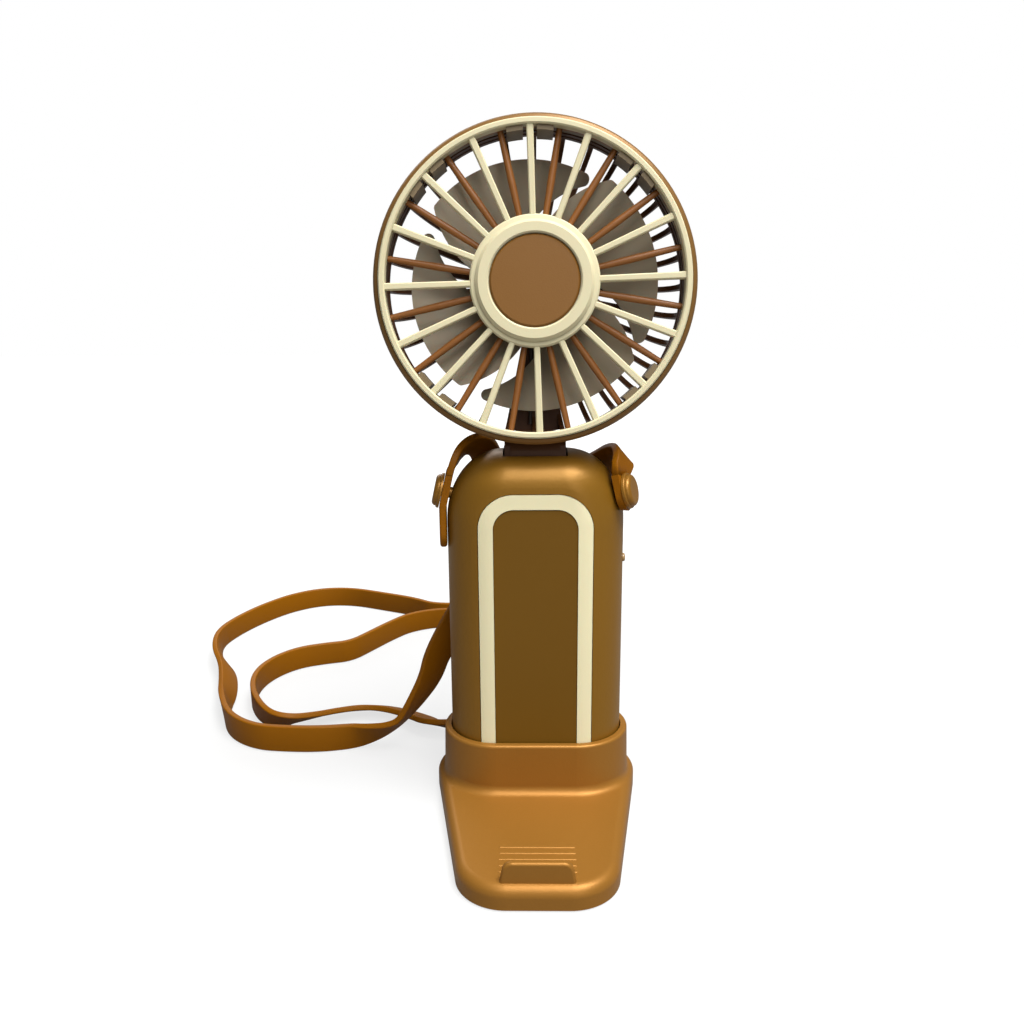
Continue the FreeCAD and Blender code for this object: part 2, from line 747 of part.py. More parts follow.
def strap_route():
    """Points along the strap's middle, each with the direction that its flat side faces."""
    start, start_facing, _ = strap_joint(-1, left_stud_turn_deg)
    end, end_facing, _ = strap_joint(1, right_stud_turn_deg)
    middle = [
        ((-22.9, -0.9, 100.6), (-0.96, 0, 0.28)),
        ((-21.2, 1.4, 103.6), (-0.82, 0.15, 0.55)),
        ((-18.3, 4.8, 105.2), (-0.5, 0.4, 0.77)),
        ((-15.5, 9.0, 104.0), (-0.2, 0.65, 0.73)),
        ((-14.0, 13.6, 100.0), (0, 0.88, 0.47)),
        ((-13.0, 15.9, 92.8), (0, 1, 0.1)),
        ((-12.5, 17.8, 80.0), (0, 1, 0.1)),
        ((-11.0, 19.9, 66.0), (-0.15, 0.99, 0)),
        ((-8.5, 21.6, 50.0), (-0.35, 0.94, 0)),
        ((-6.5, 23.8, 34.0), (-0.71, 0.71, 0)),
        ((-6.5, 28.0, 18.0), (-0.81, 0.55, 0.2)),
        ((-14.0, 33.5, 7.5), (-0.5, 0.5, 0.7)),
        ((-26.0, 34.0, 3.9), (-0.2, 0.5, 0.84)),
        ((-33.8, 33.0, 3.9), (-0.05, 0.57, 0.82)),
        ((-41.9, 40.8, 3.2), (0, 0.48, 0.88)),
        ((-52.6, 46.6, 3.2), (0, 0.44, 0.9)),
        ((-62.4, 47.6, 3.2), (0, 0.44, 0.9)),
        ((-71.4, 44.5, 3.3), (0, 0.47, 0.88)),
        ((-79.7, 39.2, 3.7), (0, 0.56, 0.83)),
        ((-87.5, 34.8, 4.3), (0.1, 0.74, 0.67)),
        ((-95.4, 38.7, 4.7), (0.75, 0.65, 0.15)),
        ((-103.4, 52.2, 4.8), (1, 0.1, 0)),
        ((-106.5, 66.5, 4.8), (0.87, -0.49, 0)),
        ((-104.0, 79.3, 4.8), (0.55, -0.83, 0)),
        ((-96.5, 90.0, 4.8), (0.37, -0.93, 0)),
        ((-85.5, 94.8, 4.8), (0.29, -0.96, 0)),
        ((-76.1, 97.4, 4.8), (0.37, -0.93, 0)),
        ((-69.6, 109.0, 4.8), (0.66, -0.75, 0)),
        ((-62.9, 121.2, 4.8), (0.55, -0.83, 0)),
        ((-55.4, 132.2, 4.8), (0.37, -0.93, 0)),
        ((-40.5, 138.8, 4.8), (0.15, -0.99, 0)),
        ((-20.0, 133.5, 4.8), (0.1, -1, 0)),
        ((4.0, 127.5, 4.8), (0.1, -1, 0)),
        ((27.0, 131.0, 4.8), (0.75, -0.66, 0)),
        ((32.0, 149.0, 4.8), (0.96, 0.29, 0)),
        ((17.0, 160.5, 4.8), (0.29, 0.96, 0)),
        ((-5.0, 157.0, 4.8), (-0.24, 0.97, 0)),
        ((-27.0, 145.8, 4.8), (-0.24, 0.97, 0)),
        ((-46.0, 144.3, 4.8), (0, 1, 0)),
        ((-56.5, 153.2, 4.8), (0.1, 1, 0)),
        ((-73.1, 161.1, 4.8), (0, 1, 0)),
        ((-89.1, 168.5, 4.8), (0, 1, 0)),
        ((-104.2, 168.2, 4.8), (-0.1, 1, 0)),
        ((-117.0, 159.4, 4.8), (-0.29, 0.96, 0)),
        ((-126.6, 144.4, 4.8), (-0.45, 0.89, 0)),
        ((-133.2, 128.2, 4.8), (-0.66, 0.75, 0)),
        ((-136.5, 111.8, 4.8), (-0.89, 0.45, 0)),
        ((-131.4, 94.6, 4.7), (-0.97, 0, -0.25)),
        ((-121.9, 80.0, 4.6), (-0.8, -0.1, -0.6)),
        ((-115.4, 61.6, 4.6), (-0.79, -0.15, -0.59)),
        ((-112.5, 48.0, 4.7), (-0.93, -0.3, -0.2)),
        ((-105.2, 31.5, 4.8), (-0.82, -0.58, 0)),
        ((-93.6, 22.4, 4.8), (-0.37, -0.93, 0)),
        ((-81.5, 20.9, 4.8), (-0.05, -1, 0)),
        ((-71.1, 20.8, 4.8), (0, -1, 0)),
        ((-61.3, 23.1, 4.5), (0.05, -0.99, -0.1)),
        ((-53.4, 22.4, 6.4), (0.2, -0.81, -0.55)),
        ((-47.5, 22.3, 8.7), (0.46, -0.52, -0.72)),
        ((-43.1, 22.1, 11.8), (0.69, -0.32, -0.65)),
        ((-38.8, 21.0, 18.2), (0.75, -0.54, -0.38)),
        ((-33.6, 20.0, 27.2), (0.69, -0.72, 0)),
        ((-31.2, 19.0, 35.7), (0.51, -0.86, 0.05)),
        ((-22.0, 17.9, 52.0), (0.3, -0.95, 0)),
        ((-15.0, 17.2, 62.0), (0, -1, 0)),
        ((-6.5, 16.4, 72.0), (0, -1, 0)),
        ((3.0, 15.9, 81.5), (0, -1, 0)),
        ((9.6, 15.8, 90.0), (0, -1, -0.05)),
        ((14.2, 15.7, 94.6), (-0.15, -0.98, -0.15)),
        ((17.6, 12.8, 96.6), (-0.2, -0.91, -0.35)),
        ((20.7, 8.0, 99.4), (-0.3, -0.81, -0.51)),
        ((23.5, 2.8, 102.2), (-0.46, -0.52, -0.72)),
        ((25.0, -2.4, 102.0), (-0.82, 0.12, -0.55)),
    ]
    return [(start, start_facing)] + [(Vector(*place), Vector(*facing)) for place, facing in middle] + [
        (end, end_facing * -1)]


def strap_stations():
    """Places and facings along the route, with arcs at its points stepped by 15 degrees."""
    route = strap_route()
    stations = [route[0]]
    radii = []
    for (before, _), (corner, facing), (after, _) in zip(route, route[1:], route[2:]):
        arc = corner_arc(before, corner, after)
        radii.append(round(arc["radius"], 1))
        steps = max(2, math.ceil(math.degrees(arc["turn"]) / 15))
        spoke = arc["first"] - arc["centre"]
        normal = spoke.cross(arc["last"] - arc["centre"])
        for step in range(steps + 1):
            turn = FreeCAD.Rotation(normal, math.degrees(arc["turn"]) * step / steps)
            stations.append((arc["centre"] + turn.multVec(spoke), facing))
    stations.append(route[-1])
    print("strap bend radii", radii)
    return stations


def eased_facings(stations):
    """Facings turned steadily along the path, so that the strap twists without steps."""
    distances = [0.0]
    for (here, _), (there, _) in zip(stations, stations[1:]):
        distances.append(distances[-1] + there.distanceToPoint(here))
    window = strap_width
    eased = []
    for index, (_, own) in enumerate(stations):
        total = Vector(0, 0, 0)
        for other, (_, facing) in enumerate(stations):
            away = abs(distances[other] - distances[index])
            if away < window:
                total = total + Vector(facing).normalize() * (1 - away / window)
        eased.append(total.normalize() if total.Length > 0 else Vector(own).normalize())
    eased[0] = Vector(stations[0][1]).normalize()
    eased[-1] = Vector(stations[-1][1]).normalize()
    return eased, distances[-1]


def strap_run():
    """The strap's free run: a flat section carried along the route, ruled between stations."""
    stations = strap_stations()
    facings, length = eased_facings(stations)
    sections = []
    last = len(stations) - 1
    for index, (place, _) in enumerate(stations):
        ahead = stations[min(index + 1, last)][0]
        behind = stations[max(index - 1, 0)][0]
        along = ahead.sub(behind).normalize()
        if index == 0:
            along = strap_joint(-1, left_stud_turn_deg)[2]
        elif index == last:
            along = strap_joint(1, right_stud_turn_deg)[2] * -1
        across = along.cross(facings[index]).normalize()
        out = across.cross(along).normalize()
        half_across = across * (strap_width / 2)
        half_out = out * (strap_thickness / 2)
        corners = [place + half_across + half_out, place - half_across + half_out,
                   place - half_across - half_out, place + half_across - half_out]
        sections.append(Part.makePolygon(corners + [corners[0]]))
    solid = Part.makeLoft(sections, True, True)
    print("strap lowest", round(solid.BoundBox.ZMin, 2))
    print("strap run length", round(length, 1), "volume ratio",
          round(solid.Volume / (length * strap_width * strap_thickness), 3), "valid", solid.isValid())
    return solid


def stand_outline(inset, low_z, height):
    """The stand's foot in plan: round back corners, tapering sides and round front corners."""
    taper = math.radians(stand_side_taper_deg)
    rear_radius = stand_rear_corner_radius - inset
    front_radius = stand_front_corner_radius - inset
    rear_y = stand_rear_y - inset
    front_y = stand_front_y + inset
    rear_centre = Vector(stand_rear_corner_x, rear_y - rear_radius, low_z)
    across_x, across_y = math.cos(taper), -math.sin(taper)
    offset = across_x * rear_centre.x + across_y * rear_centre.y + rear_radius - front_radius
    front_centre_y = front_y + front_radius
    front_centre = Vector((offset - across_y * front_centre_y) / across_x, front_centre_y, low_z)

    def on_circle(centre, radius, angle):
        return centre + Vector(radius * math.cos(angle), radius * math.sin(angle), 0)

    rear_top = on_circle(rear_centre, rear_radius, math.pi / 2)
    rear_mid = on_circle(rear_centre, rear_radius, (math.pi / 2 - taper) / 2)
    rear_end = on_circle(rear_centre, rear_radius, -taper)
    front_start = on_circle(front_centre, front_radius, -taper)
    front_mid = on_circle(front_centre, front_radius, (-taper - math.pi / 2) / 2)
    front_end = on_circle(front_centre, front_radius, -math.pi / 2)

    def mirrored(point):
        return Vector(-point.x, point.y, point.z)

    edges = [
        Part.LineSegment(mirrored(rear_top), rear_top).toShape(),
        Part.Arc(rear_top, rear_mid, rear_end).toShape(),
        Part.LineSegment(rear_end, front_start).toShape(),
        Part.Arc(front_start, front_mid, front_end).toShape(),
        Part.LineSegment(front_end, mirrored(front_end)).toShape(),
        Part.Arc(mirrored(front_end), mirrored(front_mid), mirrored(front_start)).toShape(),
        Part.LineSegment(mirrored(front_start), mirrored(rear_end)).toShape(),
        Part.Arc(mirrored(rear_end), mirrored(rear_mid), mirrored(rear_top)).toShape(),
    ]
    return Part.Face(Part.Wire(edges)).extrude(Vector(0, 0, height))


def foot_top_z(y):
    """Height of the foot's sloping top at depth y."""
    span = stand_rear_y - stand_front_y
    return foot_front_height + (foot_rear_height - foot_front_height) * (y - stand_front_y) / span


def below_foot_top(shape, drop):
    """Cuts away what stands above the foot's sloping top, lowered by drop."""
    front, rear = stand_front_y - 10, stand_rear_y + 10
    corners = [Vector(-50, front, foot_top_z(front) - drop), Vector(-50, rear, foot_top_z(rear) - drop),
               Vector(-50, rear, 60), Vector(-50, front, 60)]
    wedge = Part.Face(Part.makePolygon(corners + [corners[0]])).extrude(Vector(100, 0, 0))
    return shape.cut(wedge)


def collar_half_width(z):
    drop = (collar_top_z - z) / collar_top_z
    return handle_half_width + socket_gap + collar_wall + collar_draft * drop


def collar():
    low_z = stand_bottom_z + 3.0
    radius_gap = handle_half_width - handle_half_depth
    low = stadium_wire(collar_half_width(low_z), collar_half_width(low_z) - radius_gap, low_z)
    high = stadium_wire(collar_half_width(collar_top_z), collar_half_width(collar_top_z) - radius_gap, collar_top_z)
    return Part.makeLoft([low, high], True, True)


def socket():
    return stadium_prism(handle_half_width + socket_gap, handle_half_depth + socket_gap,
                         -1, collar_top_z + 1)


def stand_screw_places():
    return [(-19.5, -19.5), (19.5, -19.5), (-13.0, -42.0), (13.0, -42.0)]


def pad_prisms(growth, high_z):
    """The two rubber pads under the stand, or with growth the room for them."""
    rear = stadium_prism(rear_pad_half_width + growth, rear_pad_half_depth + growth, 0, high_z)
    front = stadium_prism(front_pad_half_width + growth, front_pad_half_depth + growth, 0, high_z)
    front.translate(Vector(0, front_pad_y, 0))
    return [rear, front]


def stand_lip():
    front = lip_front_y
    low_z = foot_top_z(front) - 1.0
    points = [Vector(-lip_bottom_width / 2, front, low_z), Vector(lip_bottom_width / 2, front, low_z),
              Vector(lip_top_width / 2, front, lip_top_z), Vector(-lip_top_width / 2, front, lip_top_z)]
    lip = Part.Face(Part.makePolygon(points + [points[0]])).extrude(Vector(0, lip_thickness, 0))
    shoulders = [edge for edge in lip.Edges
                 if abs(edge.tangentAt(edge.FirstParameter).y) > 0.9 and edge.CenterOfMass.z > lip_top_z - 0.5]
    lip = lip.makeFillet(lip_corner_radius, shoulders)
    rims = [edge for edge in lip.Edges
            if edge.CenterOfMass.z > low_z + 0.5 and edge.BoundBox.YLength < 0.01]
    return lip.makeFillet(lip_edge_round, rims)


def grip_lines():
    lines = []
    for index in range(grip_line_count):
        y = grip_line_first_y - index * grip_line_pitch
        z = foot_top_z(y) + grip_line_height - grip_line_radius
        lines.append(rod(grip_line_radius, Vector(-grip_line_length / 2, y, z), Vector(grip_line_length / 2, y, z)))
    return lines


def stand_shell():
    foot = below_foot_top(stand_outline(0, stand_bottom_z, 12), 0)
    top_edges = [edge for edge in foot.Edges if edge.BoundBox.ZMin > foot_front_height - 0.2]
    foot = foot.makeFillet(foot_edge_radius, top_edges)
    body = foot.fuse(collar())
    junction = [edge for edge in body.Edges
                if edge.BoundBox.ZMin > foot_front_height - 1.5 and edge.BoundBox.ZMax < foot_rear_height + 1.0
                and abs(edge.CenterOfMass.y) < 17.5 and on_collar(edge)]
    body = body.makeFillet(collar_fillet, junction)
    rim = [edge for edge in body.Edges if edge.BoundBox.ZMin > collar_top_z - 0.01]
    body = body.makeFillet(0.8, rim)
    inside = below_foot_top(stand_outline(stand_wall, -1, 12), stand_wall)
    core_half = handle_half_width + socket_gap + stand_wall
    inside = inside.cut(stadium_prism(core_half, core_half - handle_half_width + handle_half_depth, -2, 20))
    for x, y in stand_screw_places():
        inside = inside.cut(Part.makeCylinder(2.4, 20, Vector(x, y, -2)))
    body = body.cut(inside)
    body = body.cut(socket())
    body = body.cut(stand_outline(stand_wall * 0.5, -1, 1 + stand_bottom_z + base_plate_thickness))
    for x, y in stand_screw_places():
        body = body.cut(Part.makeCylinder(stand_screw_radius + inside_gap / 2, 3.4, Vector(x, y, 1)))
    body = body.fuse([stand_lip()] + grip_lines()).removeSplitter()
    return body


def on_collar(edge):
    """Whether the middle of an edge lies on the collar's outside."""
    point = edge.valueAt((edge.FirstParameter + edge.LastParameter) / 2)
    half_width = collar_half_width(point.z)
    straight = handle_half_width - handle_half_depth
    radius = half_width - straight
    off = math.hypot(max(0.0, abs(point.x) - straight), point.y)
    return abs(off - radius) < 0.05


def stand_base_plate():
    plate = stand_outline(stand_wall * 0.5 + base_plate_gap, stand_bottom_z, base_plate_thickness)
    for x, y in stand_screw_places():
        plate = plate.cut(Part.makeCylinder(stand_screw_radius + 0.15, 10, Vector(x, y, -1)))
        plate = plate.cut(Part.makeCylinder(stand_screw_head_radius + 0.1, 1.9, Vector(x, y, -1)))
    return plate.cut(pad_prisms(pad_gap, pad_thickness))


def stand_screws():
    screws = []
    for x, y in stand_screw_places():
        head = Part.makeCylinder(stand_screw_head_radius, 0.4, Vector(x, y, 0.5))
        shank = Part.makeCylinder(stand_screw_radius, 3.4, Vector(x, y, 0.8))
        screws.append(head.fuse(shank))
    return Part.makeCompound(screws)


def rubber_pads():
    return Part.makeCompound(pad_prisms(0, pad_thickness))


def place_head(shape):
    """Moves a piece from the head's own frame to the leaning head on its hinge."""
    placed = shape.copy()
    placed.translate(Vector(0, head_front_y, head_centre_z))
    placed.rotate(Vector(0, pin_y, pin_z), X_AXIS, -head_lean_deg)
    return placed


def pin_in_head():
    """The hinge pin's depth and height in the head's own frame."""
    return pin_y - head_front_y, pin_z - head_centre_z


def head_shell():
    wall = turned([
        (shell_inner_radius, shell_front_y), (shell_outer_radius - shell_lip_round, shell_front_y),
        (shell_outer_radius - 0.4 * shell_lip_round, shell_front_y + 0.4 * shell_lip_round),
        (shell_outer_radius, shell_front_y + shell_lip_round), (shell_outer_radius, shell_rear_y),
        (shell_inner_radius, shell_rear_y),
    ])
    return wall


def knuckle():
    """Block below the rear grille that turns in the dome's slot on the hinge pin."""
    y, z = pin_in_head()
    front = knuckle_front_y - head_front_y
    low = z - knuckle_bottom_drop
    high = -shell_outer_radius + 1.5
    rear = y + knuckle_rear_radius
    core = knuckle_core_half_width
    half = knuckle_half_width
    block = box(-core, core, front, rear, low, high)
    step = box(-half, half, front + knuckle_step, rear, low + knuckle_step, high)
    barrel = rod(knuckle_rear_radius, Vector(-half, y, z), Vector(half, y, z))
    turned_part = block.fuse([step, barrel])
    swing = rod(knuckle_profile_radius(), Vector(-half, y, z), Vector(half, y, z))
    tail = box(-half - 1, half + 1, y, rear + 1, low - 9, z).cut(barrel)
    shell_room = disc(shell_outer_radius + 0.05, 0, shell_rear_y)
    return turned_part.common(swing).cut(tail).cut(shell_room)


def rear_grille():
    rim_low = shell_rear_y
    rim = ring(shell_outer_radius - 0.3, ring_inner_radius + 0.2, rim_low, rim_low + grille_rim_thickness)
    spigot = ring(shell_inner_radius - 0.05, ring_inner_radius + 0.4, rim_low - 2.0, rim_low + 0.1)
    ribs = [spun(rib(), index * 360 / rib_count) for index in range(rib_count)]
    seat = disc(motor_seat_radius, motor_rear_y, grille_rear_y)
    y, z = pin_in_head()
    parts = [rim, spigot, seat, strut(), knuckle()] + ribs
    body = parts[0].multiFuse(parts[1:])
    body = body.cut(rod(pin_radius + pin_clearance, Vector(-20, y, z), Vector(20, y, z)))
    body = body.cut(disc(shaft_radius + 0.5, motor_rear_y - 1, grille_rear_y + 1))
    for side in (-1, 1):
        body = body.cut(rod(motor_screw_radius + 0.1, Vector(side * motor_screw_spacing, 10, 0),
                            Vector(side * motor_screw_spacing, 30, 0)))
        body = body.cut(rod(1.6, Vector(side * motor_screw_spacing, grille_rear_y - 1.0, 0),
                            Vector(side * motor_screw_spacing, 30, 0)))
    return body.removeSplitter()


def rib():
    """One rib: out across the back, round the shoulder and forward to the rim."""
    rim_y = shell_rear_y + 0.8
    outer = shell_outer_radius - 0.3
    inner = outer - rib_depth - 0.3
    shoulder = grille_shoulder_radius
    back = grille_rear_y
    low = grille_rear_y - rib_depth
    start = motor_seat_radius - 1.5
    bow = math.sqrt(0.5)
    outer_mid = Vector(shoulder + (outer - shoulder) * bow, rim_y + (back - rim_y) * bow, 0)
    inner_mid = Vector(shoulder + (inner - shoulder) * bow, rim_y + (low - rim_y) * bow, 0)
    edges = [
        Part.LineSegment(Vector(start, low, 0), Vector(start, back, 0)).toShape(),
        Part.LineSegment(Vector(start, back, 0), Vector(shoulder, back, 0)).toShape(),
        Part.Arc(Vector(shoulder, back, 0), outer_mid, Vector(outer, rim_y, 0)).toShape(),
        Part.LineSegment(Vector(outer, rim_y, 0), Vector(inner, rim_y, 0)).toShape(),
        Part.Arc(Vector(inner, rim_y, 0), inner_mid, Vector(shoulder, low, 0)).toShape(),
        Part.LineSegment(Vector(shoulder, low, 0), Vector(start, low, 0)).toShape(),
    ]
    face = Part.Face(Part.Wire(edges))
    face.translate(Vector(0, 0, -rib_thickness / 2))
    flat = face.extrude(Vector(0, 0, rib_thickness))
    flat.rotate(Vector(0, 0, 0), Y_AXIS, -90)
    return flat


def strut():
    """The solid tapered web that carries the leads from the neck up to the motor seat."""
    high = -motor_seat_radius + 2
    low = -shell_outer_radius + 2.5
    front = grille_rear_y - strut_depth
    points = [Vector(-strut_top_half_width, front, high), Vector(strut_top_half_width, front, high),
              Vector(strut_bottom_half_width, front, low), Vector(-strut_bottom_half_width, front, low)]
    web = Part.Face(Part.makePolygon(points + [points[0]])).extrude(Vector(0, strut_depth, 0))
    skirt = box(-strut_bottom_half_width, strut_bottom_half_width, shell_rear_y + 0.4, grille_rear_y,
                -shell_outer_radius + 0.4, low + 1.0)
    return web.fuse(skirt).common(grille_envelope())


def grille_envelope():
    """The space that the rear grille's outside stays in."""
    return turned([
        (0, shell_rear_y - 3), (shell_outer_radius - 0.3, shell_rear_y - 3),
        (shell_outer_radius - 0.3, shell_rear_y + 1.0), (shell_outer_radius - 1.2, shell_rear_y + 4.8),
        (shell_outer_radius - 3.6, shell_rear_y + 8.0), (shell_outer_radius - 7.0, grille_rear_y - 0.6),
        (grille_shoulder_radius, grille_rear_y), (0, grille_rear_y),
    ])


def front_grille():
    """Cream piece: ring, spokes and the raised hub ring with the floor under the cap."""
    edge = ring_edge_round
    rim = turned([
        (ring_inner_radius, edge), (ring_inner_radius + edge, 0), (ring_outer_radius - edge, 0),
        (ring_outer_radius, edge), (ring_outer_radius, ring_depth), (ring_inner_radius, ring_depth),
    ])
    hub = turned([
        (hub_bore_radius, hub_ring_front + 0.4), (hub_bore_radius + 0.4, hub_ring_front),
        (hub_ring_radius - 0.8, hub_ring_front), (hub_ring_radius, hub_ring_front + 0.8),
        (hub_ring_radius, hub_flange_front - 0.2), (hub_flange_radius - 0.4, hub_flange_front),
        (hub_flange_radius, hub_flange_front + 0.4), (hub_flange_radius, hub_rear), (hub_bore_radius, hub_rear),
    ])
    floor = disc(hub_bore_radius + 0.5, hub_floor_front, hub_floor_front + 1.2)
    inner = cream_spoke_section(hub_flange_radius - 0.6, cream_spoke_hub_width,
                                cream_spoke_hub_front, cream_spoke_hub_rear)
    outer = cream_spoke_section(ring_inner_radius + ring_band / 2, cream_spoke_rim_width,
                                cream_spoke_rim_front, cream_spoke_rim_rear)
    spoke = Part.makeLoft([inner, outer], True, True)
    spokes = [spun(spoke, index * 360 / spoke_count) for index in range(spoke_count)]
    return fused([rim, hub, floor] + spokes)


def cream_spoke_section(radius, width, front_y, rear_y):
    """Outline across a cream spoke at a radius, with its two front edges broken."""
    half = width / 2
    edge = cream_spoke_edge
    corners = [(-half, rear_y), (-half, front_y + edge), (-half + edge, front_y),
               (half - edge, front_y), (half, front_y + edge), (half, rear_y)]
    points = [Vector(x, y, radius) for x, y in corners]
    return Part.makePolygon(points + [points[0]])


def ring_clips():
    """Thin ring behind the spokes whose paired clips hold the two grilles in the head shell."""
    front_y = brown_ring_rear + 0.05
    rear_y = front_y + clip_ring_thickness
    band = ring(ring_outer_radius, brown_ring_inner_radius, front_y, rear_y)
    outer = ring_inner_radius - 0.03
    inner = outer - clip_thickness
    parts = [band]
    for angle in clip_angles_deg:
        for side in (-1, 1):
            low_x = side * clip_offset - clip_width / 2
            high_x = low_x + clip_width
            tab = box(low_x, high_x, clip_front, clip_rear, inner - 1, outer + 1)
            tab = tab.common(ring(outer, inner, clip_front, clip_rear))
            root = box(low_x, high_x, front_y, rear_y, inner + 0.2, outer + 2)
            root = root.common(ring(brown_ring_inner_radius + 0.5, inner + 0.2, front_y, rear_y))
            parts += [spun(tab, angle), spun(root, angle)]
    return fused(parts)


def spoke_grille():
    """Brown piece behind the cream one: its own ring, hub and round tapered spokes."""
    rim = ring(ring_outer_radius, brown_ring_inner_radius, brown_ring_front, brown_ring_rear)
    hub = ring(hub_flange_radius - 0.3, hub_bore_radius, hub_rear + 0.05, brown_hub_rear)
    start = hub_flange_radius - 1.2
    end = brown_ring_inner_radius + 0.5
    middle = start + 0.42 * (end - start)
    low = Part.makeCone(brown_spoke_end_radius, brown_spoke_mid_radius, middle - start,
                        Vector(0, brown_spoke_depth, start))
    high = Part.makeCone(brown_spoke_mid_radius, brown_spoke_end_radius, end - middle,
                         Vector(0, brown_spoke_depth, middle))
    spoke = low.fuse(high)
    step = 360 / spoke_count
    spokes = [spun(spoke, (index + 0.5) * step) for index in range(spoke_count)]
    return fused([rim, hub] + spokes)


def centre_cap():
    return turned([
        (0, cap_front), (cap_radius - 0.5, cap_front), (cap_radius, cap_front + 0.5),
        (cap_radius, hub_floor_front - 0.05), (0, hub_floor_front - 0.05),
    ])


def motor_can():
    can = disc(motor_radius, motor_front_y, motor_rear_y - end_bell_thickness)
    nose = disc(3.0, motor_front_y - 0.8, motor_front_y + 0.1)
    return can.fuse(nose).cut(disc(shaft_radius + shaft_clearance, 0, motor_rear_y))


def motor_end_bell():
    bell = disc(motor_radius, motor_rear_y - end_bell_thickness, motor_rear_y)
    bell = bell.cut(disc(shaft_radius + shaft_clearance, 0, 30))
    for side in (-1, 1):
        bell = bell.cut(rod(motor_screw_radius + 0.05, Vector(side * motor_screw_spacing, 10, 0),
                            Vector(side * motor_screw_spacing, 30, 0)))
    return bell


def motor_screws():
    screws = []
    for side in (-1, 1):
        x = side * motor_screw_spacing
        shank = rod(motor_screw_radius, Vector(x, motor_rear_y - end_bell_thickness + 0.1, 0),
                    Vector(x, grille_rear_y - 0.9, 0))
        head = rod(1.5, Vector(x, grille_rear_y - 0.95, 0), Vector(x, grille_rear_y - 0.1, 0))
        screws.append(shank.fuse(head))
    return Part.makeCompound(screws)


def motor_shaft():
    return disc(shaft_radius, shaft_front_y, motor_rear_y + 1.0)


def impeller():
    """Hub cup over the motor with its four broad swept blades."""
    cup = disc(hub_cup_radius, hub_cup_front, hub_cup_rear)
    cup = cup.makeFillet(1.2, [edge for edge in cup.Edges if abs(edge.CenterOfMass.y - hub_cup_front) < 0.01])
    cup = cup.cut(disc(hub_cup_radius - hub_cup_wall, hub_cup_front + hub_cup_wall, hub_cup_rear + 1))
    boss = disc(2.6, hub_cup_front + 0.2, motor_front_y - 1.0)
    parts = [cup, boss]
    for index in range(blade_count):
        parts.append(spun(blade(), blade_first_turn_deg + index * 360 / blade_count))
    wheel = fused(parts)
    return wheel.cut(disc(shaft_radius, shaft_front_y, 30))


def blade():
    """One blade: a thick twisted sheet trimmed to a swept outline with rounded tip corners."""
    rows, columns, margin = 5, 8, 0.12
    root = hub_cup_radius - hub_cup_wall / 2
    reach = blade_tip_radius - root
    grid = []
    for row in range(rows):
        radius = root - 1.5 + (reach + 4.0) * row / (rows - 1)
        line = []
        for column in range(columns):
            share = -margin + (1 + 2 * margin) * column / (columns - 1)
            depth = blade_rear_y - (blade_rear_y - blade_front_y) * share - blade_thickness
            angle = blade_edge_angle(radius, share)
            line.append(Vector(radius * math.cos(angle), depth, radius * math.sin(angle)))
        grid.append(line)
    surface = Part.BSplineSurface()
    surface.interpolate(grid)
    sheet = surface.toShape().extrude(Vector(0, blade_thickness, 0))
    return sheet.common(blade_outline(root))


def blade_edge_angle(radius, share):
    """Angle of the blade at a radius: share 0 is its trailing edge and share 1 its leading edge."""
    sweep = blade_trailing_sweep + (blade_leading_sweep - blade_trailing_sweep) * share
    start = blade_trailing_deg + blade_span_deg * share
    return math.radians(start - sweep * (radius - blade_sweep_from_radius))


def blade_outline(root):
    """The blade's outline seen from the front, carried through its depth."""

    def at(radius, share):
        angle = blade_edge_angle(radius, share)
        return Vector(radius * math.cos(angle), blade_front_y - 3, radius * math.sin(angle))

    middle = (root + blade_tip_radius) / 2
    edges = [
        Part.Arc(at(root, 0), at(middle, 0), at(blade_tip_radius, 0)).toShape(),
        Part.Arc(at(blade_tip_radius, 0), at(blade_tip_radius, 0.5), at(blade_tip_radius, 1)).toShape(),
        Part.Arc(at(blade_tip_radius, 1), at(middle, 1), at(root, 1)).toShape(),
        Part.Arc(at(root, 1), at(root, 0.5), at(root, 0)).toShape(),
    ]
    prism = Part.Face(Part.Wire(edges)).extrude(Vector(0, blade_rear_y - blade_front_y + 6, 0))

    def upright_at(point):
        return [edge for edge in prism.Edges
                if math.hypot(edge.CenterOfMass.x - point.x, edge.CenterOfMass.z - point.z) < 0.1]

    prism = prism.makeFillet(blade_trailing_round, upright_at(at(blade_tip_radius, 0)))
    return prism.makeFillet(blade_leading_round, upright_at(at(blade_tip_radius, 1)))


def motor_leads():
    """Two short wires from the motor's end down the strut to the neck."""
    wires = []
    for side in (-1, 1):
        x = side * 1.0
        y = grille_rear_y - strut_depth - 0.75
        wires.append(lead([Vector(x, y, -motor_radius - 0.3), Vector(x, y, -24), Vector(x * 1.3, y + 0.1, -37)], 0.5))
    return Part.makeCompound(wires)


def write(name, shape):
    shape.exportStep("parts/" + name + ".step")
    solids = shape.Solids
    print(name, len(solids), "solids", "valid" if shape.isValid() else "INVALID",
          round(sum(solid.Volume for solid in solids) / 1000, 3), "cm3")


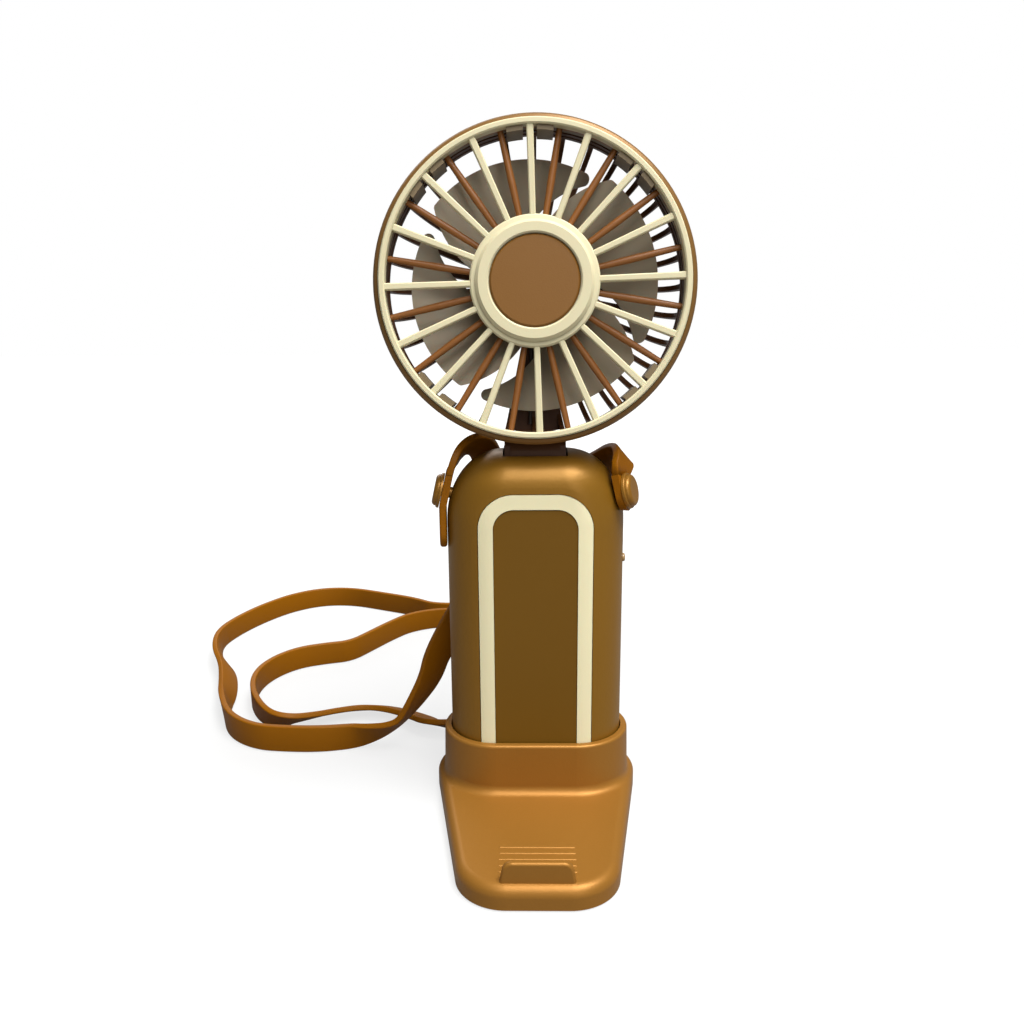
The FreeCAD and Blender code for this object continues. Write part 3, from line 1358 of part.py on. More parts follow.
def main():
    os.makedirs("parts", exist_ok=True)
    front_half, rear_half = handle_halves()
    pieces = {
        "stand_shell": stand_shell(),
        "stand_base_plate": stand_base_plate(),
        "stand_screws": stand_screws(),
        "rubber_pads": rubber_pads(),
        "handle_front_shell": front_half,
        "handle_rear_shell": rear_half,
        "handle_end_cap": handle_end_cap(),
        "front_trim": front_trim(),
        "front_panel": front_panel(),
        "case_screws": case_screws(),
        "battery_cell": battery_cell(),
        "cell_tabs": cell_tabs(),
        "battery_leads": battery_leads(),
        "circuit_board": circuit_board(),
        "button_switch": button_switch(),
        "usb_socket": usb_socket(),
        "indicator_lens": indicator_lens(),
        "power_button": power_button(),
        "hinge_pin": hinge_pin(),
        "hinge_washers": hinge_washers(),
        "left_strap_stud": strap_stud(-1, left_stud_turn_deg),
        "right_strap_stud": strap_stud(1, right_stud_turn_deg),
        "left_strap_end": strap_end(-1, left_stud_turn_deg, left_tail_length),
        "right_strap_end": strap_end(1, right_stud_turn_deg, right_tail_length),
        "strap_run": strap_run(),
        "head_shell": place_head(head_shell()),
        "rear_grille": place_head(rear_grille()),
        "front_grille": place_head(spun(front_grille(), -grille_turn_deg)),
        "spoke_grille": place_head(spun(spoke_grille(), -grille_turn_deg)),
        "ring_clips": place_head(spun(ring_clips(), -grille_turn_deg)),
        "centre_cap": place_head(centre_cap()),
        "motor_can": place_head(motor_can()),
        "motor_end_bell": place_head(motor_end_bell()),
        "motor_screws": place_head(motor_screws()),
        "motor_leads": place_head(motor_leads()),
        "motor_shaft": place_head(motor_shaft()),
        "impeller": place_head(impeller()),
    }
    for name, shape in pieces.items():
        write(name, shape)


main()
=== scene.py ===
"""Folding mini fan on its stand, dressed for a plain studio picture.

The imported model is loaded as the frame. Each sub-assembly is a class that dresses its own pieces,
and the neck strap is worked out as a surface carried along its route.
"""

import json
import logging
import math
from dataclasses import dataclass, field
from enum import Enum

import bpy
import numpy as np
from mathutils import Matrix, Vector

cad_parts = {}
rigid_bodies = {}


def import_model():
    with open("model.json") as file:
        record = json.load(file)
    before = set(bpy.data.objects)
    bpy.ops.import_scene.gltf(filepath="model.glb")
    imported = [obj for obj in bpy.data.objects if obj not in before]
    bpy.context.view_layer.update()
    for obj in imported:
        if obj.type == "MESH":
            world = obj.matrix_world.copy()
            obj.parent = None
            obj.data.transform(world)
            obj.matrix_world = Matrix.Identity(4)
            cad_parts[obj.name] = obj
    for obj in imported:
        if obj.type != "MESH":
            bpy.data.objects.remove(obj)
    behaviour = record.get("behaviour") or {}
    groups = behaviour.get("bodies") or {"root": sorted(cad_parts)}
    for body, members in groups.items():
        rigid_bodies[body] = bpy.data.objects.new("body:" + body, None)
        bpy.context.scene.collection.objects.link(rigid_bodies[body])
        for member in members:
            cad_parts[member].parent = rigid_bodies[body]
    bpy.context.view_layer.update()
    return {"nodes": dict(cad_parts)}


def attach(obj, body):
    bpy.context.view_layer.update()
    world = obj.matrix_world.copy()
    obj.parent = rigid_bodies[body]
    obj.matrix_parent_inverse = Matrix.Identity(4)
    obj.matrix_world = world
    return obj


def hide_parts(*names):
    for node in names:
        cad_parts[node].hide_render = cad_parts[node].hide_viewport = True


LOG = logging.getLogger("mini_fan")
MILLIMETRE = 0.001


class Body(str, Enum):
    """The rigid bodies that pieces ride on."""

    STAND = "stand"
    HANDLE = "handle"
    BUTTON = "power_button"
    HEAD = "head"
    IMPELLER = "impeller"


def linear(srgb: tuple[int, int, int]) -> tuple[float, float, float, float]:
    """Turns a colour in 0 to 255 screen values into linear light.

    Args:
        srgb: Red, green and blue as they look on a screen.

    Returns:
        Linear red, green and blue, and an alpha of one.
    """
    values = np.asarray(srgb, float) / 255.0
    low = values / 12.92
    high = ((values + 0.055) / 1.055) ** 2.4
    red, green, blue = np.where(values <= 0.04045, low, high)
    return float(red), float(green), float(blue), 1.0


class NodeSheet:
    """A small helper that adds and joins shader nodes in one tree."""

    def __init__(self, tree: bpy.types.NodeTree) -> None:
        """Keeps the tree that nodes go into.

        Args:
            tree: The node tree of a material, world or group.
        """
        self.tree = tree

    def add(self, kind: str, **settings: object) -> bpy.types.Node:
        """Adds one node.

        Args:
            kind: The node type's identifier.
            settings: Attributes of the node to set.

        Returns:
            The new node.
        """
        node = self.tree.nodes.new(kind)
        for name, value in settings.items():
            setattr(node, name, value)
        return node

    def join(self, source: bpy.types.NodeSocket, target: bpy.types.NodeSocket) -> None:
        """Links an output socket to an input socket."""
        self.tree.links.new(source, target)

    def maths(self, operation: str, first: object, second: object) -> bpy.types.NodeSocket:
        """Adds a maths node on two sockets or numbers.

        Args:
            operation: The maths operation's name.
            first: A socket or a number.
            second: A socket or a number.

        Returns:
            The node's output socket.
        """
        node = self.add("ShaderNodeMath", operation=operation)
        for slot, value in zip(node.inputs, (first, second)):
            if isinstance(value, bpy.types.NodeSocket):
                self.join(value, slot)
            else:
                slot.default_value = value
        return node.outputs[0]


@dataclass
class MouldedSurface:
    """Shared effect: the faint clouding, fine grain and uneven sheen of moulded plastic."""

    name: str = "moulded_surface"
    cloud_detail: float = 3.0
    grain_detail: float = 2.0
    tree: bpy.types.NodeTree | None = None

    def group(self) -> bpy.types.NodeTree:
        """Builds the group once and gives it back.

        Returns:
            The node group, which puts out a colour, a roughness and a height.
        """
        if self.tree is None:
            self.tree = bpy.data.node_groups.new(self.name, "ShaderNodeTree")
            self._sockets()
            self._nodes()
        return self.tree

    def _sockets(self) -> None:
        inputs = ("Colour", "Clouding", "Cloud Scale", "Grain Scale", "Roughness", "Sheen Change")
        outputs = ("Colour", "Roughness", "Height")
        for way, names in (("INPUT", inputs), ("OUTPUT", outputs)):
            for name in names:
                kind = "NodeSocketColor" if name == "Colour" else "NodeSocketFloat"
                self.tree.interface.new_socket(name=name, in_out=way, socket_type=kind)

    def _nodes(self) -> None:
        """Lays out the noise that drives colour, roughness and height."""
        sheet = NodeSheet(self.tree)
        given = sheet.add("NodeGroupInput")
        result = sheet.add("NodeGroupOutput")
        place = sheet.add("ShaderNodeTexCoord")
        cloud = sheet.add("ShaderNodeTexNoise")
        cloud.inputs["Detail"].default_value = self.cloud_detail
        grain = sheet.add("ShaderNodeTexNoise")
        grain.inputs["Detail"].default_value = self.grain_detail
        sheet.join(place.outputs["Object"], cloud.inputs["Vector"])
        sheet.join(place.outputs["Object"], grain.inputs["Vector"])
        sheet.join(given.outputs["Cloud Scale"], cloud.inputs["Scale"])
        sheet.join(given.outputs["Grain Scale"], grain.inputs["Scale"])
        swing = sheet.maths("SUBTRACT", cloud.outputs["Fac"], 0.5)
        shade = sheet.maths("MULTIPLY", swing, given.outputs["Clouding"])
        value = sheet.maths("ADD", shade, 1.0)
        tint = sheet.add("ShaderNodeHueSaturation")
        sheet.join(given.outputs["Colour"], tint.inputs["Color"])
        sheet.join(value, tint.inputs["Value"])
        sheet.join(tint.outputs["Color"], result.inputs["Colour"])
        change = sheet.maths("MULTIPLY", swing, given.outputs["Sheen Change"])
        sheet.join(sheet.maths("ADD", change, given.outputs["Roughness"]), result.inputs["Roughness"])
        sheet.join(grain.outputs["Fac"], result.inputs["Height"])


@dataclass(frozen=True)
class Finish:
    """One finish: its colour as seen on a screen and how it takes light."""

    name: str
    colour: tuple[int, int, int]
    roughness: float = 0.45
    clouding: float = 0.08
    cloud_scale: float = 35.0
    grain_scale: float = 2600.0
    grain_depth: float = 0.02
    sheen_change: float = 0.12
    metallic: float = 0.0
    coat: float = 0.0
    coat_roughness: float = 0.2
    subsurface: float = 0.0
    subsurface_depth: float = 2.0
    specular: float = 0.5

    def material(self, surface: MouldedSurface) -> bpy.types.Material:
        """Builds the material from the shared surface group.

        Args:
            surface: The shared group for moulded surfaces.

        Returns:
            The finished material.
        """
        made = bpy.data.materials.new(self.name)
        made.use_nodes = True
        sheet = NodeSheet(made.node_tree)
        shader = made.node_tree.nodes["Principled BSDF"]
        group = sheet.add("ShaderNodeGroup", node_tree=surface.group())
        settings = {"Colour": linear(self.colour), "Clouding": self.clouding, "Cloud Scale": self.cloud_scale,
                    "Grain Scale": self.grain_scale, "Roughness": self.roughness,
                    "Sheen Change": self.sheen_change}
        for name, value in settings.items():
            group.inputs[name].default_value = value
        bump = sheet.add("ShaderNodeBump")
        bump.inputs["Strength"].default_value = 1.0
        bump.inputs["Distance"].default_value = self.grain_depth * MILLIMETRE
        sheet.join(group.outputs["Height"], bump.inputs["Height"])
        sheet.join(group.outputs["Colour"], shader.inputs["Base Color"])
        sheet.join(group.outputs["Roughness"], shader.inputs["Roughness"])
        sheet.join(bump.outputs["Normal"], shader.inputs["Normal"])
        shader.inputs["Metallic"].default_value = self.metallic
        shader.inputs["Coat Weight"].default_value = self.coat
        shader.inputs["Coat Roughness"].default_value = self.coat_roughness
        shader.inputs["Subsurface Weight"].default_value = self.subsurface
        shader.inputs["Subsurface Scale"].default_value = self.subsurface_depth * MILLIMETRE
        shader.inputs["Specular IOR Level"].default_value = self.specular
        return made


@dataclass
class Wardrobe:
    """Every finish on the fan, each made once and given out by name."""

    surface: MouldedSurface = field(default_factory=MouldedSurface)
    made: dict[str, bpy.types.Material] = field(default_factory=dict)

    tan_case: Finish = Finish("tan_case", (134, 94, 25), roughness=0.4, clouding=0.05, grain_scale=1500.0,
                              grain_depth=0.03, metallic=0.35, specular=0.32)
    tan_stand: Finish = Finish("tan_stand", (148, 101, 38), roughness=0.42, clouding=0.05, grain_scale=1500.0,
                               grain_depth=0.03, metallic=0.35, specular=0.25)
    front_panel: Finish = Finish("front_panel", (106, 73, 13), roughness=0.5, specular=0.2)
    head_case: Finish = Finish("head_case", (122, 88, 44), roughness=0.4, metallic=0.3, specular=0.3)
    hub_disc: Finish = Finish("hub_disc", (117, 78, 28), roughness=0.42, specular=0.3)
    brown_spoke: Finish = Finish("brown_spoke", (128, 80, 36), roughness=0.4, specular=0.3)
    # Painted shade: the rear grille is the head's brown plastic, darkened to paint the shade it sits in
    # behind the blades.
    grille_painted_shade: Finish = Finish("grille_painted_shade", (78, 46, 20), roughness=0.45, specular=0.25)
    # Painted shade: the ring clips take the greyish tan of the shell's shaded inner wall, standing in for the
    # shade behind the cream ring.
    clip_painted_shade: Finish = Finish("clip_painted_shade", (116, 100, 74), roughness=0.45, specular=0.25)
    cream: Finish = Finish("cream", (228, 219, 180), roughness=0.45, clouding=0.03, subsurface=0.05,
                           specular=0.25)
    # Painted shade: the front grille is the trim's cream, darkened to offset the stronger lamp light falling
    # on the head.
    grille_cream_painted_shade: Finish = Finish("grille_cream_painted_shade", (202, 193, 158), roughness=0.45, clouding=0.03,
                                  subsurface=0.05, specular=0.25)
    blade_grey: Finish = Finish("blade_grey", (142, 130, 110), roughness=0.5, clouding=0.04,
                                subsurface=0.25, specular=0.2)
    strap_band: Finish = Finish("strap_band", (138, 83, 0), roughness=0.5, clouding=0.1, grain_depth=0.03,
                                specular=0.15)
    stud_cap: Finish = Finish("stud_cap", (142, 98, 32), roughness=0.34, metallic=0.35, specular=0.3)
    lens: Finish = Finish("lens", (150, 118, 70), roughness=0.25, coat=0.5)
    pad: Finish = Finish("pad_rubber", (40, 37, 34), roughness=0.8, specular=0.3)
    steel: Finish = Finish("bright_steel", (190, 190, 188), roughness=0.3, metallic=1.0, clouding=0.04)
    dark_part: Finish = Finish("dark_part", (26, 26, 27), roughness=0.5)
    cell_wrap: Finish = Finish("cell_wrap", (40, 100, 150), roughness=0.3, coat=0.4)
    board: Finish = Finish("board_green", (20, 80, 45), roughness=0.4, coat=0.3)
    wire: Finish = Finish("wire_sleeve", (44, 34, 28), roughness=0.5)

    def get(self, finish: Finish) -> bpy.types.Material:
        """Gives the material of a finish, making it the first time.

        Args:
            finish: The finish wanted.

        Returns:
            Its material.
        """
        if finish.name not in self.made:
            self.made[finish.name] = finish.material(self.surface)
        return self.made[finish.name]

    def dress(self, piece: bpy.types.Object, finish: Finish) -> None:
        """Puts one finish on every slot of a piece."""
        material = self.get(finish)
        if not piece.material_slots:
            piece.data.materials.append(material)
        for place in piece.material_slots:
            place.material = material
        LOG.info("dressed %s with %s", piece.name, finish.name)


@dataclass
class SubAssembly:
    """Pieces of one body that keep their made shape and get a finish."""

    nodes: dict[str, bpy.types.Object]
    wardrobe: Wardrobe

    def finishes(self) -> dict[str, Finish]:
        """Names each piece's finish."""
        return {}

    def build(self) -> None:
        """Dresses each piece of the sub-assembly."""
        for name, finish in self.finishes().items():
            self.wardrobe.dress(self.nodes[name], finish)


@dataclass
class Stand(SubAssembly):
    """The stand with its socket, ledge, base plate and pads."""

    def finishes(self) -> dict[str, Finish]:
        """Names the finish of each piece of the stand."""
        w = self.wardrobe
        return {"stand_shell": w.tan_stand, "stand_base_plate": w.tan_stand, "stand_screws": w.steel,
                "rubber_pads": w.pad}


@dataclass
class Handle(SubAssembly):
    """The handle with its trim, controls, cell and hinge."""

    def finishes(self) -> dict[str, Finish]:
        """Names the finish of each piece of the handle."""
        w = self.wardrobe
        return {"handle_front_shell": w.tan_case, "handle_rear_shell": w.tan_case,
                "handle_end_cap": w.tan_case, "front_trim": w.cream, "front_panel": w.front_panel,
                "case_screws": w.steel,
                "battery_cell": w.cell_wrap, "cell_tabs": w.steel, "battery_leads": w.wire,
                "circuit_board": w.board, "button_switch": w.dark_part, "usb_socket": w.steel,
                "indicator_lens": w.lens, "power_button": w.cream, "hinge_pin": w.steel,
                "hinge_washers": w.dark_part, "left_strap_stud": w.stud_cap,
                "right_strap_stud": w.stud_cap, "left_strap_end": w.strap_band,
                "right_strap_end": w.strap_band}


@dataclass
class FanHead(SubAssembly):
    """The head with its grilles, motor and impeller."""

    def finishes(self) -> dict[str, Finish]:
        """Names the finish of each piece of the head."""
        w = self.wardrobe
        return {"head_shell": w.head_case, "rear_grille": w.grille_painted_shade, "front_grille": w.grille_cream_painted_shade,
                "spoke_grille": w.brown_spoke, "ring_clips": w.clip_painted_shade, "centre_cap": w.hub_disc,
                "motor_can": w.steel, "motor_end_bell": w.dark_part, "motor_screws": w.steel,
                "motor_leads": w.wire, "motor_shaft": w.steel, "impeller": w.blade_grey}


# Each row is a point on the strap's middle in millimetres and the way its flat side faces there.
STRAP_ROUTE = (
    ((-24.039, -0.877, 97.625), (-0.972, -0.068, 0.225)),
    ((-22.9, -0.9, 100.6), (-0.96, 0, 0.28)),
    ((-21.2, 1.4, 103.6), (-0.82, 0.15, 0.55)),
    ((-18.3, 4.8, 105.2), (-0.5, 0.4, 0.77)),
    ((-15.5, 9.0, 104.0), (-0.2, 0.65, 0.73)),
    ((-14.0, 13.6, 100.0), (0, 0.88, 0.47)),
    ((-13.0, 15.9, 92.8), (0, 1, 0.1)),
    ((-12.5, 17.8, 80.0), (0, 1, 0.1)),
    ((-11.0, 19.9, 66.0), (-0.15, 0.99, 0)),
    ((-8.5, 21.6, 50.0), (-0.35, 0.94, 0)),
    ((-6.5, 23.8, 34.0), (-0.71, 0.71, 0)),
    ((-6.5, 28.0, 18.0), (-0.81, 0.55, 0.2)),
    ((-14.0, 33.5, 7.5), (-0.5, 0.5, 0.7)),
    ((-26.0, 34.0, 3.9), (-0.2, 0.5, 0.84)),
    ((-33.8, 33.0, 3.9), (-0.05, 0.57, 0.82)),
    ((-41.9, 40.8, 3.2), (0, 0.48, 0.88)),
    ((-52.6, 46.6, 3.2), (0, 0.44, 0.9)),
    ((-62.4, 47.6, 3.2), (0, 0.44, 0.9)),
    ((-71.4, 44.5, 3.3), (0, 0.47, 0.88)),
    ((-79.7, 39.2, 3.7), (0, 0.56, 0.83)),
    ((-87.5, 34.8, 4.3), (0.1, 0.74, 0.67)),
    ((-95.4, 38.7, 4.7), (0.75, 0.65, 0.15)),
    ((-103.4, 52.2, 4.8), (1, 0.1, 0)),
    ((-106.5, 66.5, 4.8), (0.87, -0.49, 0)),
    ((-104.0, 79.3, 4.8), (0.55, -0.83, 0)),
    ((-96.5, 90.0, 4.8), (0.37, -0.93, 0)),
    ((-85.5, 94.8, 4.8), (0.29, -0.96, 0)),
    ((-76.1, 97.4, 4.8), (0.37, -0.93, 0)),
    ((-69.6, 109.0, 4.8), (0.66, -0.75, 0)),
    ((-62.9, 121.2, 4.8), (0.55, -0.83, 0)),
    ((-55.4, 132.2, 4.8), (0.37, -0.93, 0)),
    ((-40.5, 138.8, 4.8), (0.15, -0.99, 0)),
    ((-20.0, 133.5, 4.8), (0.1, -1, 0)),
    ((4.0, 127.5, 4.8), (0.1, -1, 0)),
    ((27.0, 131.0, 4.8), (0.75, -0.66, 0)),
    ((32.0, 149.0, 4.8), (0.96, 0.29, 0)),
    ((17.0, 160.5, 4.8), (0.29, 0.96, 0)),
    ((-5.0, 157.0, 4.8), (-0.24, 0.97, 0)),
    ((-27.0, 145.8, 4.8), (-0.24, 0.97, 0)),
    ((-46.0, 144.3, 4.8), (0, 1, 0)),
    ((-56.5, 153.2, 4.8), (0.1, 1, 0)),
    ((-73.1, 161.1, 4.8), (0, 1, 0)),
    ((-89.1, 168.5, 4.8), (0, 1, 0)),
    ((-104.2, 168.2, 4.8), (-0.1, 1, 0)),
    ((-117.0, 159.4, 4.8), (-0.29, 0.96, 0)),
    ((-126.6, 144.4, 4.8), (-0.45, 0.89, 0)),
    ((-133.2, 128.2, 4.8), (-0.66, 0.75, 0)),
    ((-136.5, 111.8, 4.8), (-0.89, 0.45, 0)),
    ((-131.4, 94.6, 4.7), (-0.97, 0, -0.25)),
    ((-121.9, 80.0, 4.6), (-0.8, -0.1, -0.6)),
    ((-115.4, 61.6, 4.6), (-0.79, -0.15, -0.59)),
    ((-112.5, 48.0, 4.7), (-0.93, -0.3, -0.2)),
    ((-105.2, 31.5, 4.8), (-0.82, -0.58, 0)),
    ((-93.6, 22.4, 4.8), (-0.37, -0.93, 0)),
    ((-81.5, 20.9, 4.8), (-0.05, -1, 0)),
    ((-71.1, 20.8, 4.8), (0, -1, 0)),
    ((-61.3, 23.1, 4.5), (0.05, -0.99, -0.1)),
    ((-53.4, 22.4, 6.4), (0.2, -0.81, -0.55)),
    ((-47.5, 22.3, 8.7), (0.46, -0.52, -0.72)),
    ((-43.1, 22.1, 11.8), (0.69, -0.32, -0.65)),
    ((-38.8, 21.0, 18.2), (0.75, -0.54, -0.38)),
    ((-33.6, 20.0, 27.2), (0.69, -0.72, 0)),
    ((-31.2, 19.0, 35.7), (0.51, -0.86, 0.05)),
    ((-22.0, 17.9, 52.0), (0.3, -0.95, 0)),
    ((-15.0, 17.2, 62.0), (0, -1, 0)),
    ((-6.5, 16.4, 72.0), (0, -1, 0)),
    ((3.0, 15.9, 81.5), (0, -1, 0)),
    ((9.6, 15.8, 90.0), (0, -1, -0.05)),
    ((14.2, 15.7, 94.6), (-0.15, -0.98, -0.15)),
    ((17.6, 12.8, 96.6), (-0.2, -0.91, -0.35)),
    ((20.7, 8.0, 99.4), (-0.3, -0.81, -0.51)),
    ((23.5, 2.8, 102.2), (-0.46, -0.52, -0.72)),
    ((25.0, -2.4, 102.0), (-0.82, 0.12, -0.55)),
    ((23.154, -4.709, 98.225), (-0.9034, 0.365, -0.225)),
)
# The ways the strap runs where it meets its two ends.
STRAP_LEAVES = (0.2244, 0.0157, 0.9744)
STRAP_RETURNS = (0.2086, -0.0843, -0.9744)


@dataclass
class NeckStrap:
    """The long flat strap, a rounded flat section carried along a smooth route."""

    wardrobe: Wardrobe
    width: float = 9.0 * MILLIMETRE
    thickness: float = 2.0 * MILLIMETRE
    edge_round: float = 0.45 * MILLIMETRE
    facing_reach: float = 4.0
    points_per_span: int = 10
    length: float = 0.916

    def _smooth(self, points: np.ndarray, name: str) -> np.ndarray:
        """Reads points along a smooth curve whose control points are given.

        Args:
            points: Control points in metres, one row each.
            name: A name for the working curve.

        Returns:
            Points along the curve, one row each.
        """
        curve = bpy.data.curves.new(name, "CURVE")
        curve.dimensions = "3D"
        curve.resolution_u = self.points_per_span
        spline = curve.splines.new("NURBS")
        spline.points.add(len(points) - 1)
        spline.points.foreach_set("co", np.column_stack([points, np.ones(len(points))]).ravel())
        spline.order_u = 3
        spline.use_endpoint_u = True
        working = bpy.data.objects.new(name, curve)
        bpy.context.scene.collection.objects.link(working)
        bpy.context.view_layer.update()
        mesh = bpy.data.meshes.new_from_object(working)
        found = np.zeros(len(mesh.vertices) * 3)
        mesh.vertices.foreach_get("co", found)
        bpy.data.objects.remove(working)
        bpy.data.curves.remove(curve)
        bpy.data.meshes.remove(mesh)
        return found.reshape(-1, 3)

    def _route(self) -> tuple[np.ndarray, np.ndarray]:
        """Works out the strap's middle line and the way its flat side faces along it.

        A second curve runs beside the first, shifted towards each point's facing, and the difference
        between the two gives a facing that turns as smoothly as the route.

        Returns:
            Points in metres and unit facings, one row each.
        """
        places = np.array([place for place, _ in STRAP_ROUTE], float)
        facings = np.array([facing for _, facing in STRAP_ROUTE], float)
        facings /= np.linalg.norm(facings, axis=1, keepdims=True)
        middle = self._smooth(places * MILLIMETRE, "strap_middle")
        beside = self._smooth((places + facings * self.facing_reach) * MILLIMETRE, "strap_beside")
        facing = beside - middle
        return middle, facing / np.linalg.norm(facing, axis=1, keepdims=True)

    def _section(self, corner_steps: int = 4) -> np.ndarray:
        """Gives the rounded flat section, as distances across and out.

        Each corner is a quarter circle of the edge round; the four are joined by straight sides.

        Args:
            corner_steps: Steps in each quarter circle.

        Returns:
            Section points, one row each, in order round the section.
        """
        turn = np.linspace(0, math.pi / 2, corner_steps + 1)
        half = np.array([self.width, self.thickness]) / 2 - self.edge_round
        signs = np.array([(1, 1), (-1, 1), (-1, -1), (1, -1)])
        quarters = [np.column_stack([np.cos(turn + k * math.pi / 2), np.sin(turn + k * math.pi / 2)])
                    for k in range(4)]
        return np.vstack([sign * half + quarter * self.edge_round for sign, quarter in zip(signs, quarters)])

    def _frames(self, middle: np.ndarray, facing: np.ndarray) -> tuple[np.ndarray, np.ndarray]:
        """Works out the across and out directions at each point of the route.

        Args:
            middle: Points along the route.
            facing: The wanted facings, roughly square to the route.

        Returns:
            Unit directions across the strap and out of its flat side.
        """
        along = np.gradient(middle, axis=0)
        along[0] = STRAP_LEAVES
        along[-1] = STRAP_RETURNS
        along /= np.linalg.norm(along, axis=1, keepdims=True)
        across = np.cross(along, facing)
        across /= np.linalg.norm(across, axis=1, keepdims=True)
        return across, np.cross(across, along)

    def build(self) -> bpy.types.Object:
        """Returns:
            The strap.
        """
        middle, facing = self._route()
        across, out = self._frames(middle, facing)
        section = self._section()
        rings, sides = len(middle), len(section)
        points = (middle[:, None, :] + across[:, None, :] * section[None, :, :1]
                  + out[:, None, :] * section[None, :, 1:])
        ring, side = np.meshgrid(np.arange(rings - 1), np.arange(sides), indexing="ij")
        following = (side + 1) % sides
        quads = np.stack([ring * sides + side, ring * sides + following,
                          (ring + 1) * sides + following, (ring + 1) * sides + side], -1).reshape(-1, 4)
        ends = [list(range(sides))[::-1], list(range((rings - 1) * sides, rings * sides))]
        mesh = bpy.data.meshes.new("neck_strap")
        mesh.from_pydata(points.reshape(-1, 3).tolist(), [], quads.tolist() + ends)
        mesh.update()
        self._smooth_sides(mesh, len(quads))
        self._map(mesh, middle, section, sides)
        strap = bpy.data.objects.new("neck_strap", mesh)
        bpy.context.scene.collection.objects.link(strap)
        self.wardrobe.dress(strap, self.wardrobe.strap_band)
        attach(strap, Body.HANDLE.value)
        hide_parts("strap_run")
        run = float(np.linalg.norm(np.diff(middle, axis=0), axis=1).sum())
        LOG.info("neck_strap: %d rings, %.3f m long", rings, run)
        return strap

    def _smooth_sides(self, mesh: bpy.types.Mesh, quad_count: int) -> None:
        """Shades the strap's long sides smoothly and leaves its ends flat."""
        smooth = np.zeros(len(mesh.polygons), bool)
        smooth[:quad_count] = True
        mesh.polygons.foreach_set("use_smooth", smooth)

    def _map(self, mesh: bpy.types.Mesh, middle: np.ndarray, section: np.ndarray, sides: int) -> None:
        """Writes a map in metres: round the section one way, along the strap the other.

        Args:
            mesh: The strap's mesh.
            middle: Points along the route.
            section: Points round the section.
            sides: How many points the section has.
        """
        steps = np.linalg.norm(np.diff(middle, axis=0), axis=1)
        travelled = np.concatenate([[0.0], np.cumsum(steps)])
        round_steps = np.linalg.norm(np.diff(section, axis=0), axis=1)
        round_way = np.concatenate([[0.0], np.cumsum(round_steps)])
        corners = np.zeros(len(mesh.loops), np.int32)
        mesh.loops.foreach_get("vertex_index", corners)
        layer = mesh.uv_layers.new(name="strap_map")
        layer.data.foreach_set("uv", np.column_stack([round_way[corners % sides],
                                                      travelled[corners // sides]]).ravel())


@dataclass(frozen=True)
class Lamp:
    """One soft square lamp: where it hangs in metres, its side in metres and its power in watts."""

    name: str
    place: tuple[float, float, float]
    size: float
    power: float


LAMPS = (
    Lamp("key_lamp", (0.36, -0.26, 1.2), size=0.6, power=24.0),
    Lamp("front_lamp", (0.12, -0.6, 0.75), size=0.4, power=4.2),
    Lamp("low_lamp", (0.3, -0.9, 0.3), size=0.4, power=1.2),
    Lamp("back_lamp", (-0.3, 0.9, 0.6), size=0.5, power=2.0),
)


